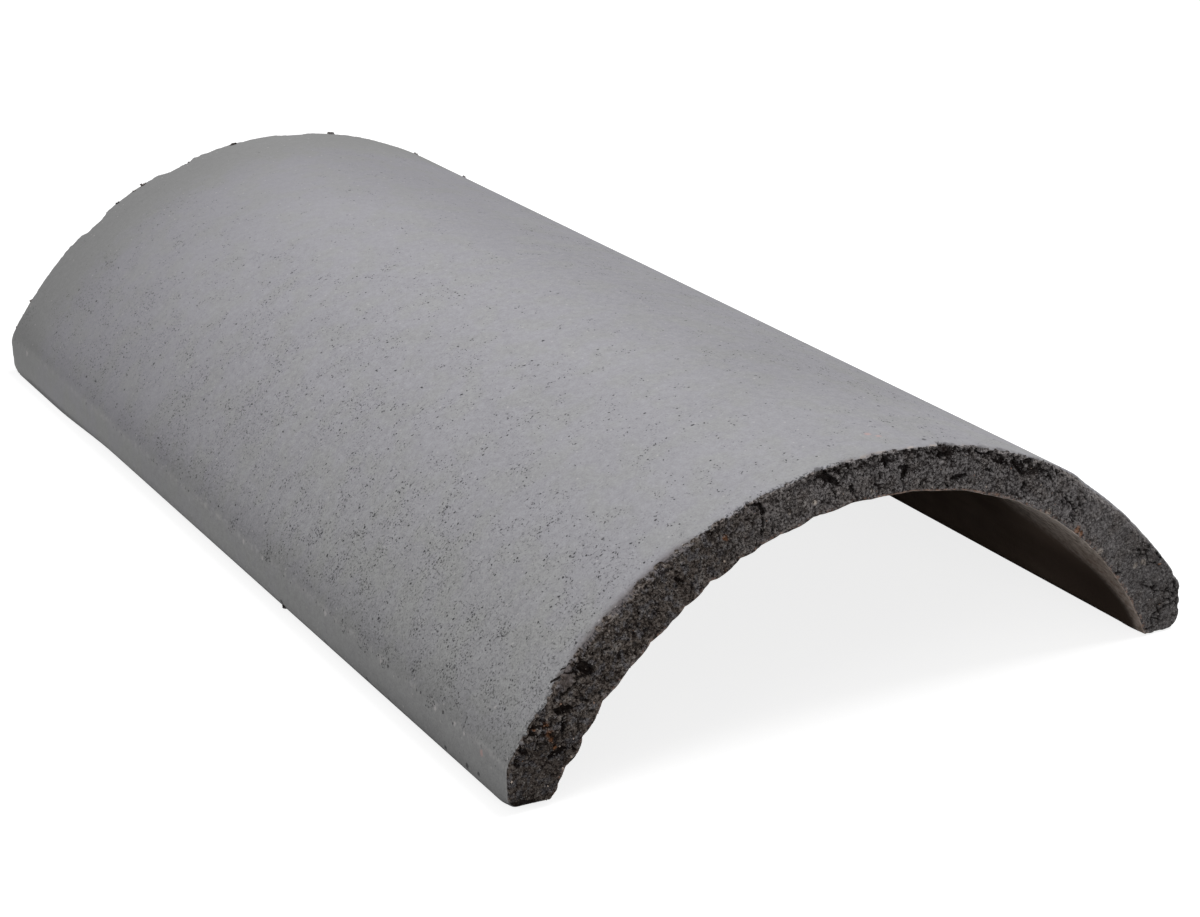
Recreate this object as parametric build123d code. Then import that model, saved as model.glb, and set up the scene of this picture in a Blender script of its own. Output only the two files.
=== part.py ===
"""Segmental ridge tile in grey concrete, of the plain kind that is laid end to end along a roof's ridge.

The tile is one casting with one section from end to end. The section is a shallow arch, thinnest at its
crown and thicker in its flanks, that stands on two narrow feet. Each foot has a short upright outer side,
which meets the arch at a soft crease, a rounded outer corner, a flat bed and a slightly eased inner edge.
Both ends are cut square, so that two tiles butt together.

Units are millimetres. X runs across the tile, Y along the ridge and Z up. The origin lies on the bed,
below the middle of the tile.
"""

from build123d import *
import os

# Overall size
TILE_LENGTH = 450.0
TILE_WIDTH = 245.0
TILE_RISE = 85.0

# The wall
CROWN_THICKNESS = 14.0
FOOT_WIDTH = 13.5
FOOT_UPRIGHT = 15.0

# The section's corners
CREASE_RADIUS = 10.0
FOOT_OUTER_RADIUS = 5.0
FOOT_INNER_RADIUS = 0.5


def arch(half_span: float, spring: float, crown: float) -> Edge:
    """Arc that rises from both springing points, at the height spring, to its crown on the tile's centre line."""
    return ThreePointArc((-half_span, spring), (0, crown), (half_span, spring))


def is_corner(vertex: Vertex, off_centre: float, height: float) -> bool:
    """Whether a vertex of the section lies that far off the centre line, on either side, and at that height."""
    tolerance = 1e-6
    return abs(abs(vertex.X) - off_centre) < tolerance and abs(vertex.Y - height) < tolerance


def section() -> Sketch:
    """The tile's section, with Y as its height above the bed."""
    outer_half = TILE_WIDTH / 2
    inner_half = outer_half - FOOT_WIDTH
    with BuildSketch() as sketch:
        with BuildLine():
            arch(outer_half, FOOT_UPRIGHT, TILE_RISE)
            arch(inner_half, 0, TILE_RISE - CROWN_THICKNESS)
            for side in (-1, 1):
                Polyline(
                    (side * outer_half, FOOT_UPRIGHT),
                    (side * outer_half, 0),
                    (side * inner_half, 0),
                )
        make_face()
        for off_centre, height, radius in (
            (outer_half, FOOT_UPRIGHT, CREASE_RADIUS),
            (outer_half, 0, FOOT_OUTER_RADIUS),
            (inner_half, 0, FOOT_INNER_RADIUS),
        ):
            corners = sketch.vertices().filter_by(lambda vertex: is_corner(vertex, off_centre, height))
            fillet(corners, radius)
    return sketch.sketch


def ridge_tile() -> Part:
    """The section, stood up and drawn out along the ridge, half to each side of the origin."""
    upright = Plane.XZ * section()
    return extrude(upright, TILE_LENGTH / 2, both=True)


def main() -> None:
    """Writes the tile as one solid."""
    os.makedirs("parts", exist_ok=True)
    tile = ridge_tile()
    tile.label = "ridge_tile"
    export_step(tile, "parts/ridge_tile.step")
    print("volume in cubic millimetres", round(tile.volume), "size", tile.bounding_box().size)


main()
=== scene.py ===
"""Dresses the segmental ridge tile: one grey concrete casting.

Its skin is a smooth grey slurry with fine pinholes, its two ends are cut through the coarse mix inside, and
its hollow is smooth and dark. The casting stays one closed mesh, made here at the solid's own sizes, and a
Geometry Nodes tree wears its arrises and roughens its cut ends. The grit on each end and a few loose crumbs
are pieces of their own.

Lengths are in metres, but for those of textures, ramps and placed rows, which are in millimetres. X runs
across the tile, Y along the ridge and Z up, with the near end at -Y.
"""

import logging
import math
from collections.abc import Callable, Iterable
from dataclasses import dataclass, fields
from enum import Enum
from functools import reduce

import bpy
import numpy as np
from mathutils import Matrix, Vector


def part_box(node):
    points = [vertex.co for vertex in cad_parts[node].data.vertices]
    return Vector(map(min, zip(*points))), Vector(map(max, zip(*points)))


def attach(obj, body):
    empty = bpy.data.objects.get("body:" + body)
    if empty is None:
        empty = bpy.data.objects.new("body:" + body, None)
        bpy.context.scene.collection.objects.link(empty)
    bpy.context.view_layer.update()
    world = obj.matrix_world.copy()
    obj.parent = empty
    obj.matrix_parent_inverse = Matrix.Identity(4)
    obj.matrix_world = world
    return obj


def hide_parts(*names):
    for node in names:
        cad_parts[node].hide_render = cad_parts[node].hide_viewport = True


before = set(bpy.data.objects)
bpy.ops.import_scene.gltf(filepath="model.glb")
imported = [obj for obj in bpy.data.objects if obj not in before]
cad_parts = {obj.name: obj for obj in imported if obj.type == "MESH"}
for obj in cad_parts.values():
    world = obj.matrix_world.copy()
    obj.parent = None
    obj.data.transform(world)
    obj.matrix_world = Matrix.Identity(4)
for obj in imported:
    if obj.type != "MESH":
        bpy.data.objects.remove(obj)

NODE = "ridge_tile"
BODY = "root"
MM = 0.001

log = logging.getLogger("ridge_tile")

Colour = tuple[float, float, float, float]


def grey_of(red: int, green: int, blue: int) -> Colour:
    """Turns a colour as a screen shows it into the linear one that shaders take.

    Args:
        red: Screen value from 0 to 255.
        green: Screen value from 0 to 255.
        blue: Screen value from 0 to 255.

    Returns:
        The linear colour, with full alpha.
    """
    parts = [value / 255 for value in (red, green, blue)]
    linear = [part / 12.92 if part <= 0.04045 else ((part + 0.055) / 1.055) ** 2.4 for part in parts]
    return (*linear, 1.0)


def in_metres(value: float | tuple) -> float | tuple:
    """A length in millimetres, or a tuple of them, in metres. A truth value stays as it is."""
    if isinstance(value, bool):
        return value
    if isinstance(value, tuple):
        return tuple(in_metres(part) for part in value)
    return value * MM


def in_mm(kind: type, *rows: tuple) -> tuple:
    """Makes one item of a kind from each row of fields, whose lengths are in millimetres."""
    return tuple(kind(*in_metres(row)) for row in rows)


def placed(name: str, data: bpy.types.ID) -> bpy.types.Object:
    """Makes an object of its data and links it into the scene."""
    obj = bpy.data.objects.new(name, data)
    bpy.context.collection.objects.link(obj)
    return obj


def _operator(operation: str, number_first: bool = False) -> Callable[["Wire", "Value"], "Wire"]:
    """A method that joins a wire and another value in one Math node.

    Args:
        operation: The node's operation.
        number_first: Whether the other value comes before the wire.

    Returns:
        The method.
    """

    def act(wire: "Wire", other: "Value") -> "Wire":
        """Adds the node."""
        first, second = (other, wire) if number_first else (wire, other)
        return wire.graph.math(operation, first, second)

    return act


class Wire:
    """One output socket of a node. Python's operators on it add Math nodes."""

    __add__ = _operator("ADD")
    __radd__ = _operator("ADD", number_first=True)
    __sub__ = _operator("SUBTRACT")
    __rsub__ = _operator("SUBTRACT", number_first=True)
    __mul__ = _operator("MULTIPLY")
    __rmul__ = _operator("MULTIPLY", number_first=True)
    __truediv__ = _operator("DIVIDE")
    __pow__ = _operator("POWER")
    most = _operator("MAXIMUM")
    least = _operator("MINIMUM")

    def __init__(self, graph: "Graph", socket: bpy.types.NodeSocket) -> None:
        """Keeps the socket and the graph that it belongs to."""
        self.graph = graph
        self.socket = socket

    def step(self, start: "Value", end: "Value") -> "Wire":
        """Smooth step.

        Args:
            start: Value at which the step is 0.
            end: Value at which it is 1. It may be the smaller one.

        Returns:
            A wire from 0 to 1.
        """
        sockets = {"Value": self, "From Min": start, "From Max": end}
        return self.graph.wire("ShaderNodeMapRange", {"interpolation_type": "SMOOTHSTEP"}, sockets)

    def ramp(self, start: float, end: float) -> "Wire":
        """A smooth step whose two ends are in millimetres."""
        return self.step(start * MM, end * MM)


Value = Wire | float | int


def most_of(wires: Iterable[Wire]) -> Wire:
    """The largest of several wires."""
    return reduce(Wire.most, wires)


class Graph:
    """Adds nodes to one shader tree or one geometry tree."""

    def __init__(self, tree: bpy.types.NodeTree) -> None:
        """Takes over a tree, empty but for its interface."""
        self.tree = tree
        self.is_shader = tree.bl_idname == "ShaderNodeTree"

    @classmethod
    def of(cls, owner: bpy.types.Material | bpy.types.World) -> "Graph":
        """Empties the tree of a material or a world and takes it over."""
        owner.use_nodes = True
        owner.node_tree.nodes.clear()
        return cls(owner.node_tree)

    def node(self, kind: str, settings: dict | None = None, sockets: dict | None = None) -> bpy.types.Node:
        """Adds any node.

        Args:
            kind: The node's type.
            settings: Its properties, which are set first.
            sockets: Its inputs by name or number, each a wire to link or a value to set.

        Returns:
            The node.
        """
        made = self.tree.nodes.new(kind)
        for name, value in (settings or {}).items():
            setattr(made, name, value)
        for key, value in (sockets or {}).items():
            if isinstance(value, Wire):
                self.tree.links.new(value.socket, made.inputs[key])
            else:
                made.inputs[key].default_value = value
        return made

    def wire(
        self, kind: str, settings: dict | None = None, sockets: dict | None = None, out: int | str = 0
    ) -> Wire:
        """Adds any node and returns one of its outputs.

        Args:
            kind: The node's type.
            settings: Its properties.
            sockets: Its inputs.
            out: Name or number of the output.

        Returns:
            The output as a wire.
        """
        return Wire(self, self.node(kind, settings, sockets).outputs[out])

    def math(self, operation: str, first: Value, second: Value = 0.0) -> Wire:
        """One Math node."""
        return self.wire("ShaderNodeMath", {"operation": operation}, {0: first, 1: second})

    def vector(self, operation: str, first: Wire | tuple, second: Wire | tuple = (0, 0, 0)) -> Wire:
        """One Vector Math node with two vectors and a vector result."""
        return self.wire("ShaderNodeVectorMath", {"operation": operation}, {0: first, 1: second})

    def scaled(self, vector: Wire, factor: Value) -> Wire:
        """A vector times a number."""
        return self.wire("ShaderNodeVectorMath", {"operation": "SCALE"}, {0: vector, "Scale": factor})

    def dot(self, first: Wire, second: Wire | tuple) -> Wire:
        """Dot product of two vectors."""
        return self.wire("ShaderNodeVectorMath", {"operation": "DOT_PRODUCT"}, {0: first, 1: second}, "Value")

    def length(self, vector: Wire) -> Wire:
        """Length of a vector."""
        return self.wire("ShaderNodeVectorMath", {"operation": "LENGTH"}, {0: vector}, "Value")

    def joined(self, x: Value, y: Value, z: Value) -> Wire:
        """A vector from its three parts."""
        return self.wire("ShaderNodeCombineXYZ", None, {0: x, 1: y, 2: z})

    def parts(self, vector: Wire) -> tuple[Wire, Wire, Wire]:
        """The three parts of a vector."""
        made = self.node("ShaderNodeSeparateXYZ", None, {0: vector})
        return tuple(Wire(self, socket) for socket in made.outputs)

    def noise(
        self, place: Wire, size: float, detail: float = 2.0, roughness: float = 0.5, flat: bool = False
    ) -> Wire:
        """Soft noise from 0 to 1, about a half.

        Args:
            place: Where to read it.
            size: About how large its blotches are, in millimetres.
            detail: Octaves of finer noise on top.
            roughness: Strength of each finer octave.
            flat: Whether only X and Y of the place count.

        Returns:
            The noise.
        """
        settings = {"noise_dimensions": "2D" if flat else "3D"}
        sockets = {"Vector": place, "Scale": 1 / (size * MM), "Detail": detail, "Roughness": roughness}
        return self.wire("ShaderNodeTexNoise", settings, sockets, 0)

    def drift(self, place: Wire, size: float, reach: float, flat: bool = False) -> Wire:
        """The place, moved about by noise.

        Args:
            place: The place to move.
            size: Size of the noise's blotches, in millimetres.
            reach: How far a point moves at most, each way, in millimetres.
            flat: Whether only X and Y of the place count.

        Returns:
            The moved place.
        """
        settings = {"noise_dimensions": "2D" if flat else "3D"}
        sockets = {"Vector": place, "Scale": 1 / (size * MM), "Detail": 1.0}
        colour = self.wire("ShaderNodeTexNoise", settings, sockets, 1)
        centred = self.vector("SUBTRACT", colour, (0.5, 0.5, 0.5))
        return self.vector("ADD", place, self.scaled(centred, 2 * reach * MM))

    def cells(self, place: Wire, size: float, feature: str = "F1", metric: str = "EUCLIDEAN") -> Wire:
        """Voronoi cells of a size in millimetres: the distance to a cell's seed or edge, in cells."""
        sockets = {"Vector": place, "Scale": 1 / (size * MM)}
        settings = {"feature": feature, "distance": metric}
        return self.wire("ShaderNodeTexVoronoi", settings, sockets, "Distance")

    def dots(self, place: Wire, size: float) -> tuple[Wire, Wire, Wire]:
        """Flat Voronoi cells.

        Args:
            place: Where to read them; only X and Y count.
            size: The cells' size, in millimetres.

        Returns:
            The distance to the cell's seed, as a length, and two random numbers of the cell's own.
        """
        sockets = {"Vector": place, "Scale": 1 / (size * MM)}
        made = self.node("ShaderNodeTexVoronoi", {"voronoi_dimensions": "2D"}, sockets)
        red, green, _ = self.parts(Wire(self, made.outputs["Color"]))
        return Wire(self, made.outputs["Distance"]) * (size * MM), red, green

    def blend(self, factor: Value, first: Wire | Colour, second: Wire | Colour, mode: str = "MIX") -> Wire:
        """Mixes two colours.

        Args:
            factor: Share of the second, from 0 to 1.
            first: The colour at 0.
            second: The colour at 1.
            mode: The mix node's blend type.

        Returns:
            The mixed colour.
        """
        settings = {"data_type": "RGBA", "blend_type": mode}
        return self.wire("ShaderNodeMix", settings, {0: factor, 6: first, 7: second}, 2)

    def dimmed(self, colour: Wire, level: Wire) -> Wire:
        """A colour times a level."""
        return self.blend(1.0, colour, self.joined(level, level, level), "MULTIPLY")

    def within(self, place: Wire, balls: Iterable[tuple[tuple, float]], core: float) -> Wire:
        """1 inside any of some soft-edged balls.

        Args:
            place: Where to read it.
            balls: Each ball's centre and radius.
            core: The share of the radius that is wholly inside.

        Returns:
            The share, from 0 to 1.
        """
        return most_of(
            self.length(self.vector("SUBTRACT", place, centre)).step(radius * 1.2, radius * core)
            for centre, radius in balls
        )

    def attribute(self, name: str, kind: str = "FLOAT") -> Wire:
        """Reads a value that is stored on the mesh.

        Args:
            name: The attribute's name.
            kind: FLOAT or FLOAT_VECTOR.

        Returns:
            The value as a wire.
        """
        if self.is_shader:
            out = "Fac" if kind == "FLOAT" else "Vector"
            return self.wire("ShaderNodeAttribute", {"attribute_name": name}, None, out)
        return self.wire("GeometryNodeInputNamedAttribute", {"data_type": kind}, {"Name": name})

    def direction(self, name: str) -> Wire:
        """Reads a vector that is stored on the mesh."""
        return self.attribute(name, "FLOAT_VECTOR")

    def stored(self, geometry: Wire, name: str, value: Wire, domain: str = "POINT") -> Wire:
        """Stores a number on the geometry under a name and returns the geometry."""
        sockets = {"Geometry": geometry, "Name": name, "Value": value}
        return self.wire("GeometryNodeStoreNamedAttribute", {"data_type": "FLOAT", "domain": domain}, sockets)


class Side(Enum):
    """The two ends of the tile, by the sign of their place along Y."""

    NEAR = -1
    FAR = 1


@dataclass(frozen=True)
class Section:
    """The casting's section, with the same sizes as the solid."""

    width: float
    rise: float
    crown_thickness: float = 14 * MM
    foot_width: float = 13.5 * MM
    foot_upright: float = 15 * MM
    crease_radius: float = 10 * MM
    foot_outer_radius: float = 5 * MM
    foot_inner_radius: float = 0.5 * MM

    @property
    def outer_radius(self) -> float:
        """Radius of the arch's outer face."""
        return self._radius(self.width / 2, self.rise - self.foot_upright)

    @property
    def outer_centre(self) -> float:
        """Height of the outer arc's centre."""
        return self.rise - self.outer_radius

    @property
    def inner_radius(self) -> float:
        """Radius of the soffit."""
        return self._radius(self.width / 2 - self.foot_width, self.rise - self.crown_thickness)

    @property
    def inner_centre(self) -> float:
        """Height of the soffit arc's centre."""
        return self.rise - self.crown_thickness - self.inner_radius

    @staticmethod
    def _radius(half_span: float, height: float) -> float:
        """Radius of an arc from its half span and its height."""
        return (half_span**2 + height**2) / (2 * height)

    @staticmethod
    def _arc(x: float, z: float, radius: float, start: float, end: float) -> np.ndarray:
        """Points of an arc, with angles in radians, clockwise from straight up."""
        steps = max(8, int(abs(end - start) * radius / (0.1 * MM)))
        angles = np.linspace(start, end, steps)
        return np.stack([x + radius * np.sin(angles), z + radius * np.cos(angles)], 1)

    def on_end(self, arc: float, below: float, y: float = 0.0) -> tuple[float, float, float]:
        """A place on an end face, from its distances along the outer arc and below the skin."""
        angle = arc / self.outer_radius
        reach = self.outer_radius - below
        return reach * math.sin(angle), y, self.outer_centre + reach * math.cos(angle)

    def outer_half(self) -> np.ndarray:
        """The right half of the outer face, from the crown to the middle of the foot's rounded corner."""
        side = self.width / 2 - self.crease_radius
        crease = math.sqrt((self.outer_radius - self.crease_radius) ** 2 - side**2) + self.outer_centre
        turn = math.atan2(side, crease - self.outer_centre)
        corner = self.foot_outer_radius
        return np.vstack(
            [
                self._arc(0, self.outer_centre, self.outer_radius, 0, turn),
                self._arc(side, crease, self.crease_radius, turn, math.pi / 2),
                self._arc(self.width / 2 - corner, corner, corner, math.pi / 2, 0.75 * math.pi),
            ]
        )

    def foot_half(self) -> np.ndarray:
        """The right foot's underside, from the middle of its outer corner to the middle of its inner one."""
        corner = self.foot_outer_radius
        x, turn = self._inner_corner()
        middle = (turn + math.pi) / 2
        return np.vstack(
            [
                self._arc(self.width / 2 - corner, corner, corner, 0.75 * math.pi, math.pi),
                self._arc(x, self.foot_inner_radius, self.foot_inner_radius, math.pi, middle + math.pi / 4),
            ]
        )

    def inner_half(self) -> np.ndarray:
        """The right half of the soffit, from the foot's inner corner up to the crown."""
        x, turn = self._inner_corner()
        radius = self.foot_inner_radius
        middle = (turn + math.pi) / 2
        return np.vstack(
            [
                self._arc(x, radius, radius, middle + math.pi / 4, math.pi + turn),
                self._arc(0, self.inner_centre, self.inner_radius, turn, 0),
            ]
        )

    def _inner_corner(self) -> tuple[float, float]:
        """Place across of the inner corner's centre, and the soffit's angle where the corner meets it."""
        radius = self.foot_inner_radius
        rise = radius - self.inner_centre
        x = math.sqrt((self.inner_radius + radius) ** 2 - rise**2)
        return x, math.atan2(x, rise)


def resampled(points: np.ndarray, count: int) -> np.ndarray:
    """Spaces points evenly along a line.

    Args:
        points: The line's own points, close together.
        count: How many equal steps the result has.

    Returns:
        Count + 1 points.
    """
    steps = np.hypot(*np.diff(points, axis=0).T)
    along = np.concatenate([[0], np.cumsum(steps)])
    at = np.linspace(0, along[-1], count + 1)
    return np.stack([np.interp(at, along, points[:, axis]) for axis in (0, 1)], 1)


def hump(place: np.ndarray, centre: float, half_width: float) -> np.ndarray:
    """A smooth hump of height 1, flat at its top."""
    away = np.clip(np.abs(place - centre) / half_width, 0, 1)
    return (1 - away**4) ** 2


def ripple(place: np.ndarray, wavelength: float, seed: int) -> np.ndarray:
    """Smooth random waves from -1 to 1 along a line.

    Args:
        place: Places along the line.
        wavelength: Distance between two random heights.
        seed: Seed of the random heights.

    Returns:
        The waves' height at each place.
    """
    heights = np.random.default_rng(seed).uniform(-1, 1, 4096)
    at = place / wavelength + 2048
    whole = np.floor(at).astype(int)
    part = at - whole
    share = part**2 * (3 - 2 * part)
    return heights[whole] * (1 - share) + heights[whole + 1] * share


@dataclass(frozen=True)
class Chip:
    """A place where an end's outer arris has broken away, or has only sunk with its skin still on it."""

    arc: float
    half_width: float
    along: float
    into: float
    bares: bool = True


@dataclass(frozen=True)
class Ragged:
    """A stretch of arris that is crumbly instead of smoothly rounded."""

    arc: float
    half_width: float
    amount: float


@dataclass(frozen=True)
class Wear:
    """How an end's outer arris is worn: a little everywhere, crumbly in stretches, and chipped in places.

    It is worn least about the place that is named whole.
    """

    along: float
    into: float
    seed: int
    whole: float
    ragged: tuple[Ragged, ...]
    chips: tuple[Chip, ...]

    def profile(self, arc: np.ndarray) -> tuple[np.ndarray, np.ndarray, np.ndarray]:
        """The wear at each place along the arris.

        Args:
            arc: Distance along the outer face from the crown, to the right.

        Returns:
            How far the wear reaches along the ridge and into the wall, and how bare the mix is, from 0 to 1.
        """
        fine = 0.6 * ripple(arc, 1.5 * MM, self.seed) + 0.4 * ripple(arc, 4 * MM, self.seed + 1)
        other = 0.6 * ripple(arc, 1.8 * MM, self.seed + 2) + 0.4 * ripple(arc, 5 * MM, self.seed + 3)
        broad = (1 + 0.4 * ripple(arc, 13 * MM, self.seed + 4)) * (1 - 0.5 * hump(arc, self.whole, 22 * MM))
        amount = np.full(arc.shape, 0.4 * MM)
        for stretch in self.ragged:
            amount = np.maximum(amount, hump(arc, stretch.arc, stretch.half_width) * stretch.amount)
        along = self.along * broad + amount * (fine + 0.4)
        into = self.into * broad + amount * (other + 0.4)
        bare = np.clip(amount / MM * 1.4 * (fine + 0.1), 0, 1)
        for chip in self.chips:
            share = hump(arc, chip.arc, chip.half_width)
            bare = np.maximum(bare, share * chip.bares)
            along = np.maximum(along, share * chip.along * (1 + 0.15 * fine))
            into = np.maximum(into, share * chip.into * (1 + 0.15 * other))
        least = 0.05 * MM
        return np.clip(along, least, None), np.clip(into, least, None), bare


@dataclass(frozen=True)
class Scallop:
    """A stretch of the soffit's arris that bulges into the hollow."""

    arc: float
    half_width: float
    out: float


@dataclass(frozen=True)
class Mark:
    """A patch of another colour on the near end, by its distances along the outer arc and below the skin."""

    arc: float
    below: float
    radius: float


@dataclass(frozen=True)
class Spot:
    """A speck or pit on the skin, by its distance along the outer face from the crown and its place in Y."""

    arc: float
    y: float
    radius: float


@dataclass(frozen=True)
class Tear:
    """An open void or crack, from one place to another.

    On the near cut end the places are across and up. On the skin they are the distance along the outer face
    from the crown, and the distance from the near end.
    """

    start: tuple[float, float]
    end: tuple[float, float]
    width: float
    depth: float


NEAR_WEAR = Wear(
    along=0.7 * MM,
    into=0.6 * MM,
    seed=21,
    whole=152 * MM,
    ragged=in_mm(
        Ragged,
        (-128, 24, 0.8),
        (-79, 9, 0.6),
        (-42, 30, 0.9),
        (-6, 24, 0.8),
        (46, 20, 0.8),
    ),
    chips=in_mm(
        Chip,
        (-150, 12, 1.6, 1.5),
        (-133.6, 2.5, 1.7, 1.6),
        (-120.5, 6, 2.6, 1.6, False),
        (-116, 2, 1.6, 2),
        (-109.5, 2, 1, 2.2),
        (-90, 36, 3.6, 1.5, False),
        (-79, 1.4, 3.2, 2.2),
        (-60, 1.6, 1.2, 1.6),
        (-41, 3.4, 1.2, 1.6),
        (-19, 1.5, 1.9, 4),
        (5, 2, 1.2, 2.2),
        (26.6, 2.6, 1.3, 2.2),
        (35, 1.5, 1, 1.8),
        (41, 3, 1.7, 3),
        (49, 2.4, 2, 3.4),
        (57, 2, 1.2, 2.4),
        (64, 3, 2, 2.6),
        (98, 38, 3, 2.7),
        (143, 1.8, 1.2, 1.6),
        (150, 2.4, 0.9, 0.9),
        (155, 1.8, 0.8, 0.8),
    ),
)

FAR_WEAR = Wear(
    along=0.9 * MM,
    into=0.7 * MM,
    seed=57,
    whole=0.0,
    ragged=in_mm(
        Ragged,
        (-112, 40, 0.6),
        (-40, 25, 0.7),
        (30, 40, 0.7),
        (110, 35, 0.9),
    ),
    chips=in_mm(
        Chip,
        (-160, 9, 2.4, 1.6, False),
        (-128, 8, 1.8, 0.8),
        (-88, 9, 4, 2),
        (-45, 10, 4, 1.8),
        (10, 9, 3.2, 1.6),
        (55, 8, 2.6, 1.8),
        (101, 9, 3.2, 2),
    ),
)

NEAR_MOUTH = in_mm(
    Scallop,
    (-133.5, 2.2, 0.5),
    (-120.5, 5, 1.7),
    (-110.5, 6.5, 1.2),
    (-96.5, 8, 1.2),
    (-87, 8, 1.5),
    (-77.5, 8, 1.8),
    (-71.5, 5, 1.7),
    (-64.5, 7, 1.4),
    (-52.5, 6, 1.2),
    (-43, 4, 0.7),
    (-35.5, 4, 0.5),
    (-27, 6.5, 0.8),
    (-13, 5.5, 0.6),
    (6, 12, 0.5),
    (24, 12, 0.5),
    (43, 10, 0.3),
)

CUT_TEARS = in_mm(
    Tear,
    ((-97.6, 40.3), (-95, 38.6), 1.56, 3.2),
    ((-105.6, 28.6), (-102, 28.2), 1.1, 3),
    ((-104, 26.4), (-104.2, 21.4), 0.65, 2.2),
    ((-114.4, 25.4), (-110, 25.1), 0.52, 1.4),
    ((-108, 15), (-104.4, 16.4), 1.04, 2.6),
    ((-99.5, 31), (-95.8, 29.4), 0.52, 1.2),
    ((-91, 43.8), (-88.6, 44), 0.59, 1.2),
    ((-67, 60.4), (-65, 58.8), 0.65, 1.6),
    ((-42.6, 77.8), (-38.6, 76.9), 0.72, 2.2),
    ((-38.6, 76.6), (-37.8, 74.2), 0.91, 2.2),
    ((-37.8, 73), (-38.2, 67.6), 0.44, 1.6),
    ((-18.6, 82.6), (-13.6, 78.8), 1.1, 3.6),
    ((-13.2, 78.6), (-11.6, 77.8), 0.78, 2),
    ((-7.4, 75.6), (-6.6, 74.4), 0.91, 1.8),
    ((4, 82.6), (4.9, 80.2), 0.95, 2.6),
    ((2.4, 77.8), (2.8, 77), 0.5, 1.6),
    ((12, 77.6), (11.2, 75.4), 1.25, 2.6),
    ((9.6, 78.6), (11, 78.4), 0.8, 1.8),
    ((25, 82.8), (25, 78.8), 1.05, 4.6),
    ((27, 82), (27.2, 79.2), 1.3, 3.4),
    ((29, 81.4), (29.8, 80), 0.9, 2),
    ((29.2, 71.2), (33.8, 70.9), 0.75, 2.2),
    ((38, 78.3), (43.4, 76.4), 0.8, 2.8),
    ((46.2, 76.4), (47.6, 75.4), 0.8, 2.6),
    ((44.6, 73.4), (49.6, 71.3), 0.7, 2.4),
    ((41.2, 71.6), (43.6, 70.6), 0.6, 1.8),
    ((51.6, 71.8), (55.8, 67.2), 0.75, 2.4),
    ((56.8, 63.6), (56.2, 61.6), 0.6, 2),
)

SKIN_TEARS = in_mm(
    Tear,
    ((-120.2, 2.9), (-118.9, 1.9), 0.42, 0.6),
    ((-118.6, 1.6), (-116.6, 0.2), 0.46, 0.7),
    ((-116, 2.5), (-114.9, 1.7), 0.3, 0.45),
    ((-114.6, 1.2), (-113.2, 0.4), 0.32, 0.45),
)

CUT_CRACKS = in_mm(
    Tear,
    ((-105, 39.7), (-99.6, 39.3), 0.26, 0.6),
    ((-103.2, 41.8), (-98.6, 41.4), 0.22, 0.5),
    ((-99.4, 38.6), (-99.8, 35.4), 0.3, 0.6),
    ((-115.6, 25.4), (-110, 25.6), 0.26, 0.5),
    ((-102.2, 28.4), (-99, 29), 0.28, 0.5),
    ((-38, 73.6), (-38.4, 67.4), 0.3, 0.6),
)

SHELF = Mark(arc=-118 * MM, below=1 * MM, radius=4.6 * MM)

RUSTY = in_mm(
    Mark,
    (-134, 2, 0.8),
    (-131.8, 5, 1.3),
    (-133.6, 7.6, 1.4),
    (-134.8, 9.4, 1.2),
    (-136.4, 11.8, 0.9),
    (-54.2, 5.9, 1.1),
    (93.7, 14.6, 1.5),
    (96, 14.9, 1),
)

PALE = in_mm(
    Mark,
    (-31, 9.1, 0.8),
    (-21.8, 9.6, 0.9),
    (-0.2, 12, 0.8),
    (77.3, 14.1, 1.3),
    (108.9, 15.2, 1.3),
    (128.5, 7, 1.3),
    (126.6, 9.7, 1.2),
)

PIT_BUNCHES = in_mm(
    Spot,
    (-146.6, -20.2, 3.4),
    (-146.1, -50.8, 4.2),
    (-147.9, -113.7, 3),
    (-147.6, -128, 4.5),
    (-146, -142.8, 4.5),
    (-147.6, -175.3, 3.2),
    (-142.8, -160.5, 3),
    (-134, -112.8, 3.6),
    (-136.7, -94.8, 3.6),
    (-131.4, -72.3, 4),
    (-113.6, -94.7, 3.2),
    (-121.9, -94.6, 3.4),
    (-115.4, -75.1, 3.6),
    (-132.4, -150.8, 4.4),
    (-116.7, -189.7, 3.2),
    (-136.5, -177.6, 4.2),
    (-132, -198.4, 4.2),
)

# Dark spots; those along the left bed's edge are painted shade in small nicks.
DARK_SPOTS = in_mm(
    Spot,
    (22.1, -219.2, 1),
    (-157.2, -206.6, 0.9),
    (-157.8, -199.3, 1.1),
    (-158.4, -185.3, 1),
    (-159.4, -145.5, 1),
    (-159.4, -130, 1.2),
    (-159.4, -98, 1.2),
    (-159, -63, 1.3),
)

PINK_SPOTS = in_mm(
    Spot,
    (8.2, -210.1, 1.2),
    (10.2, -212.8, 1),
    (-149.4, -208.9, 1.1),
)

PALE_SPOTS = in_mm(
    Spot,
    (-135.9, -205.9, 0.8),
    (-148.2, -197.4, 0.7),
    (-148, -191.2, 0.9),
    (-148.3, -178.6, 0.8),
    (-148.4, -141, 0.9),
    (-148.6, -99.4, 1.1),
    (-148.4, -47.5, 0.8),
    (-148.4, -31, 1),
    (-148.8, 203.5, 1.2),
)


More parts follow.
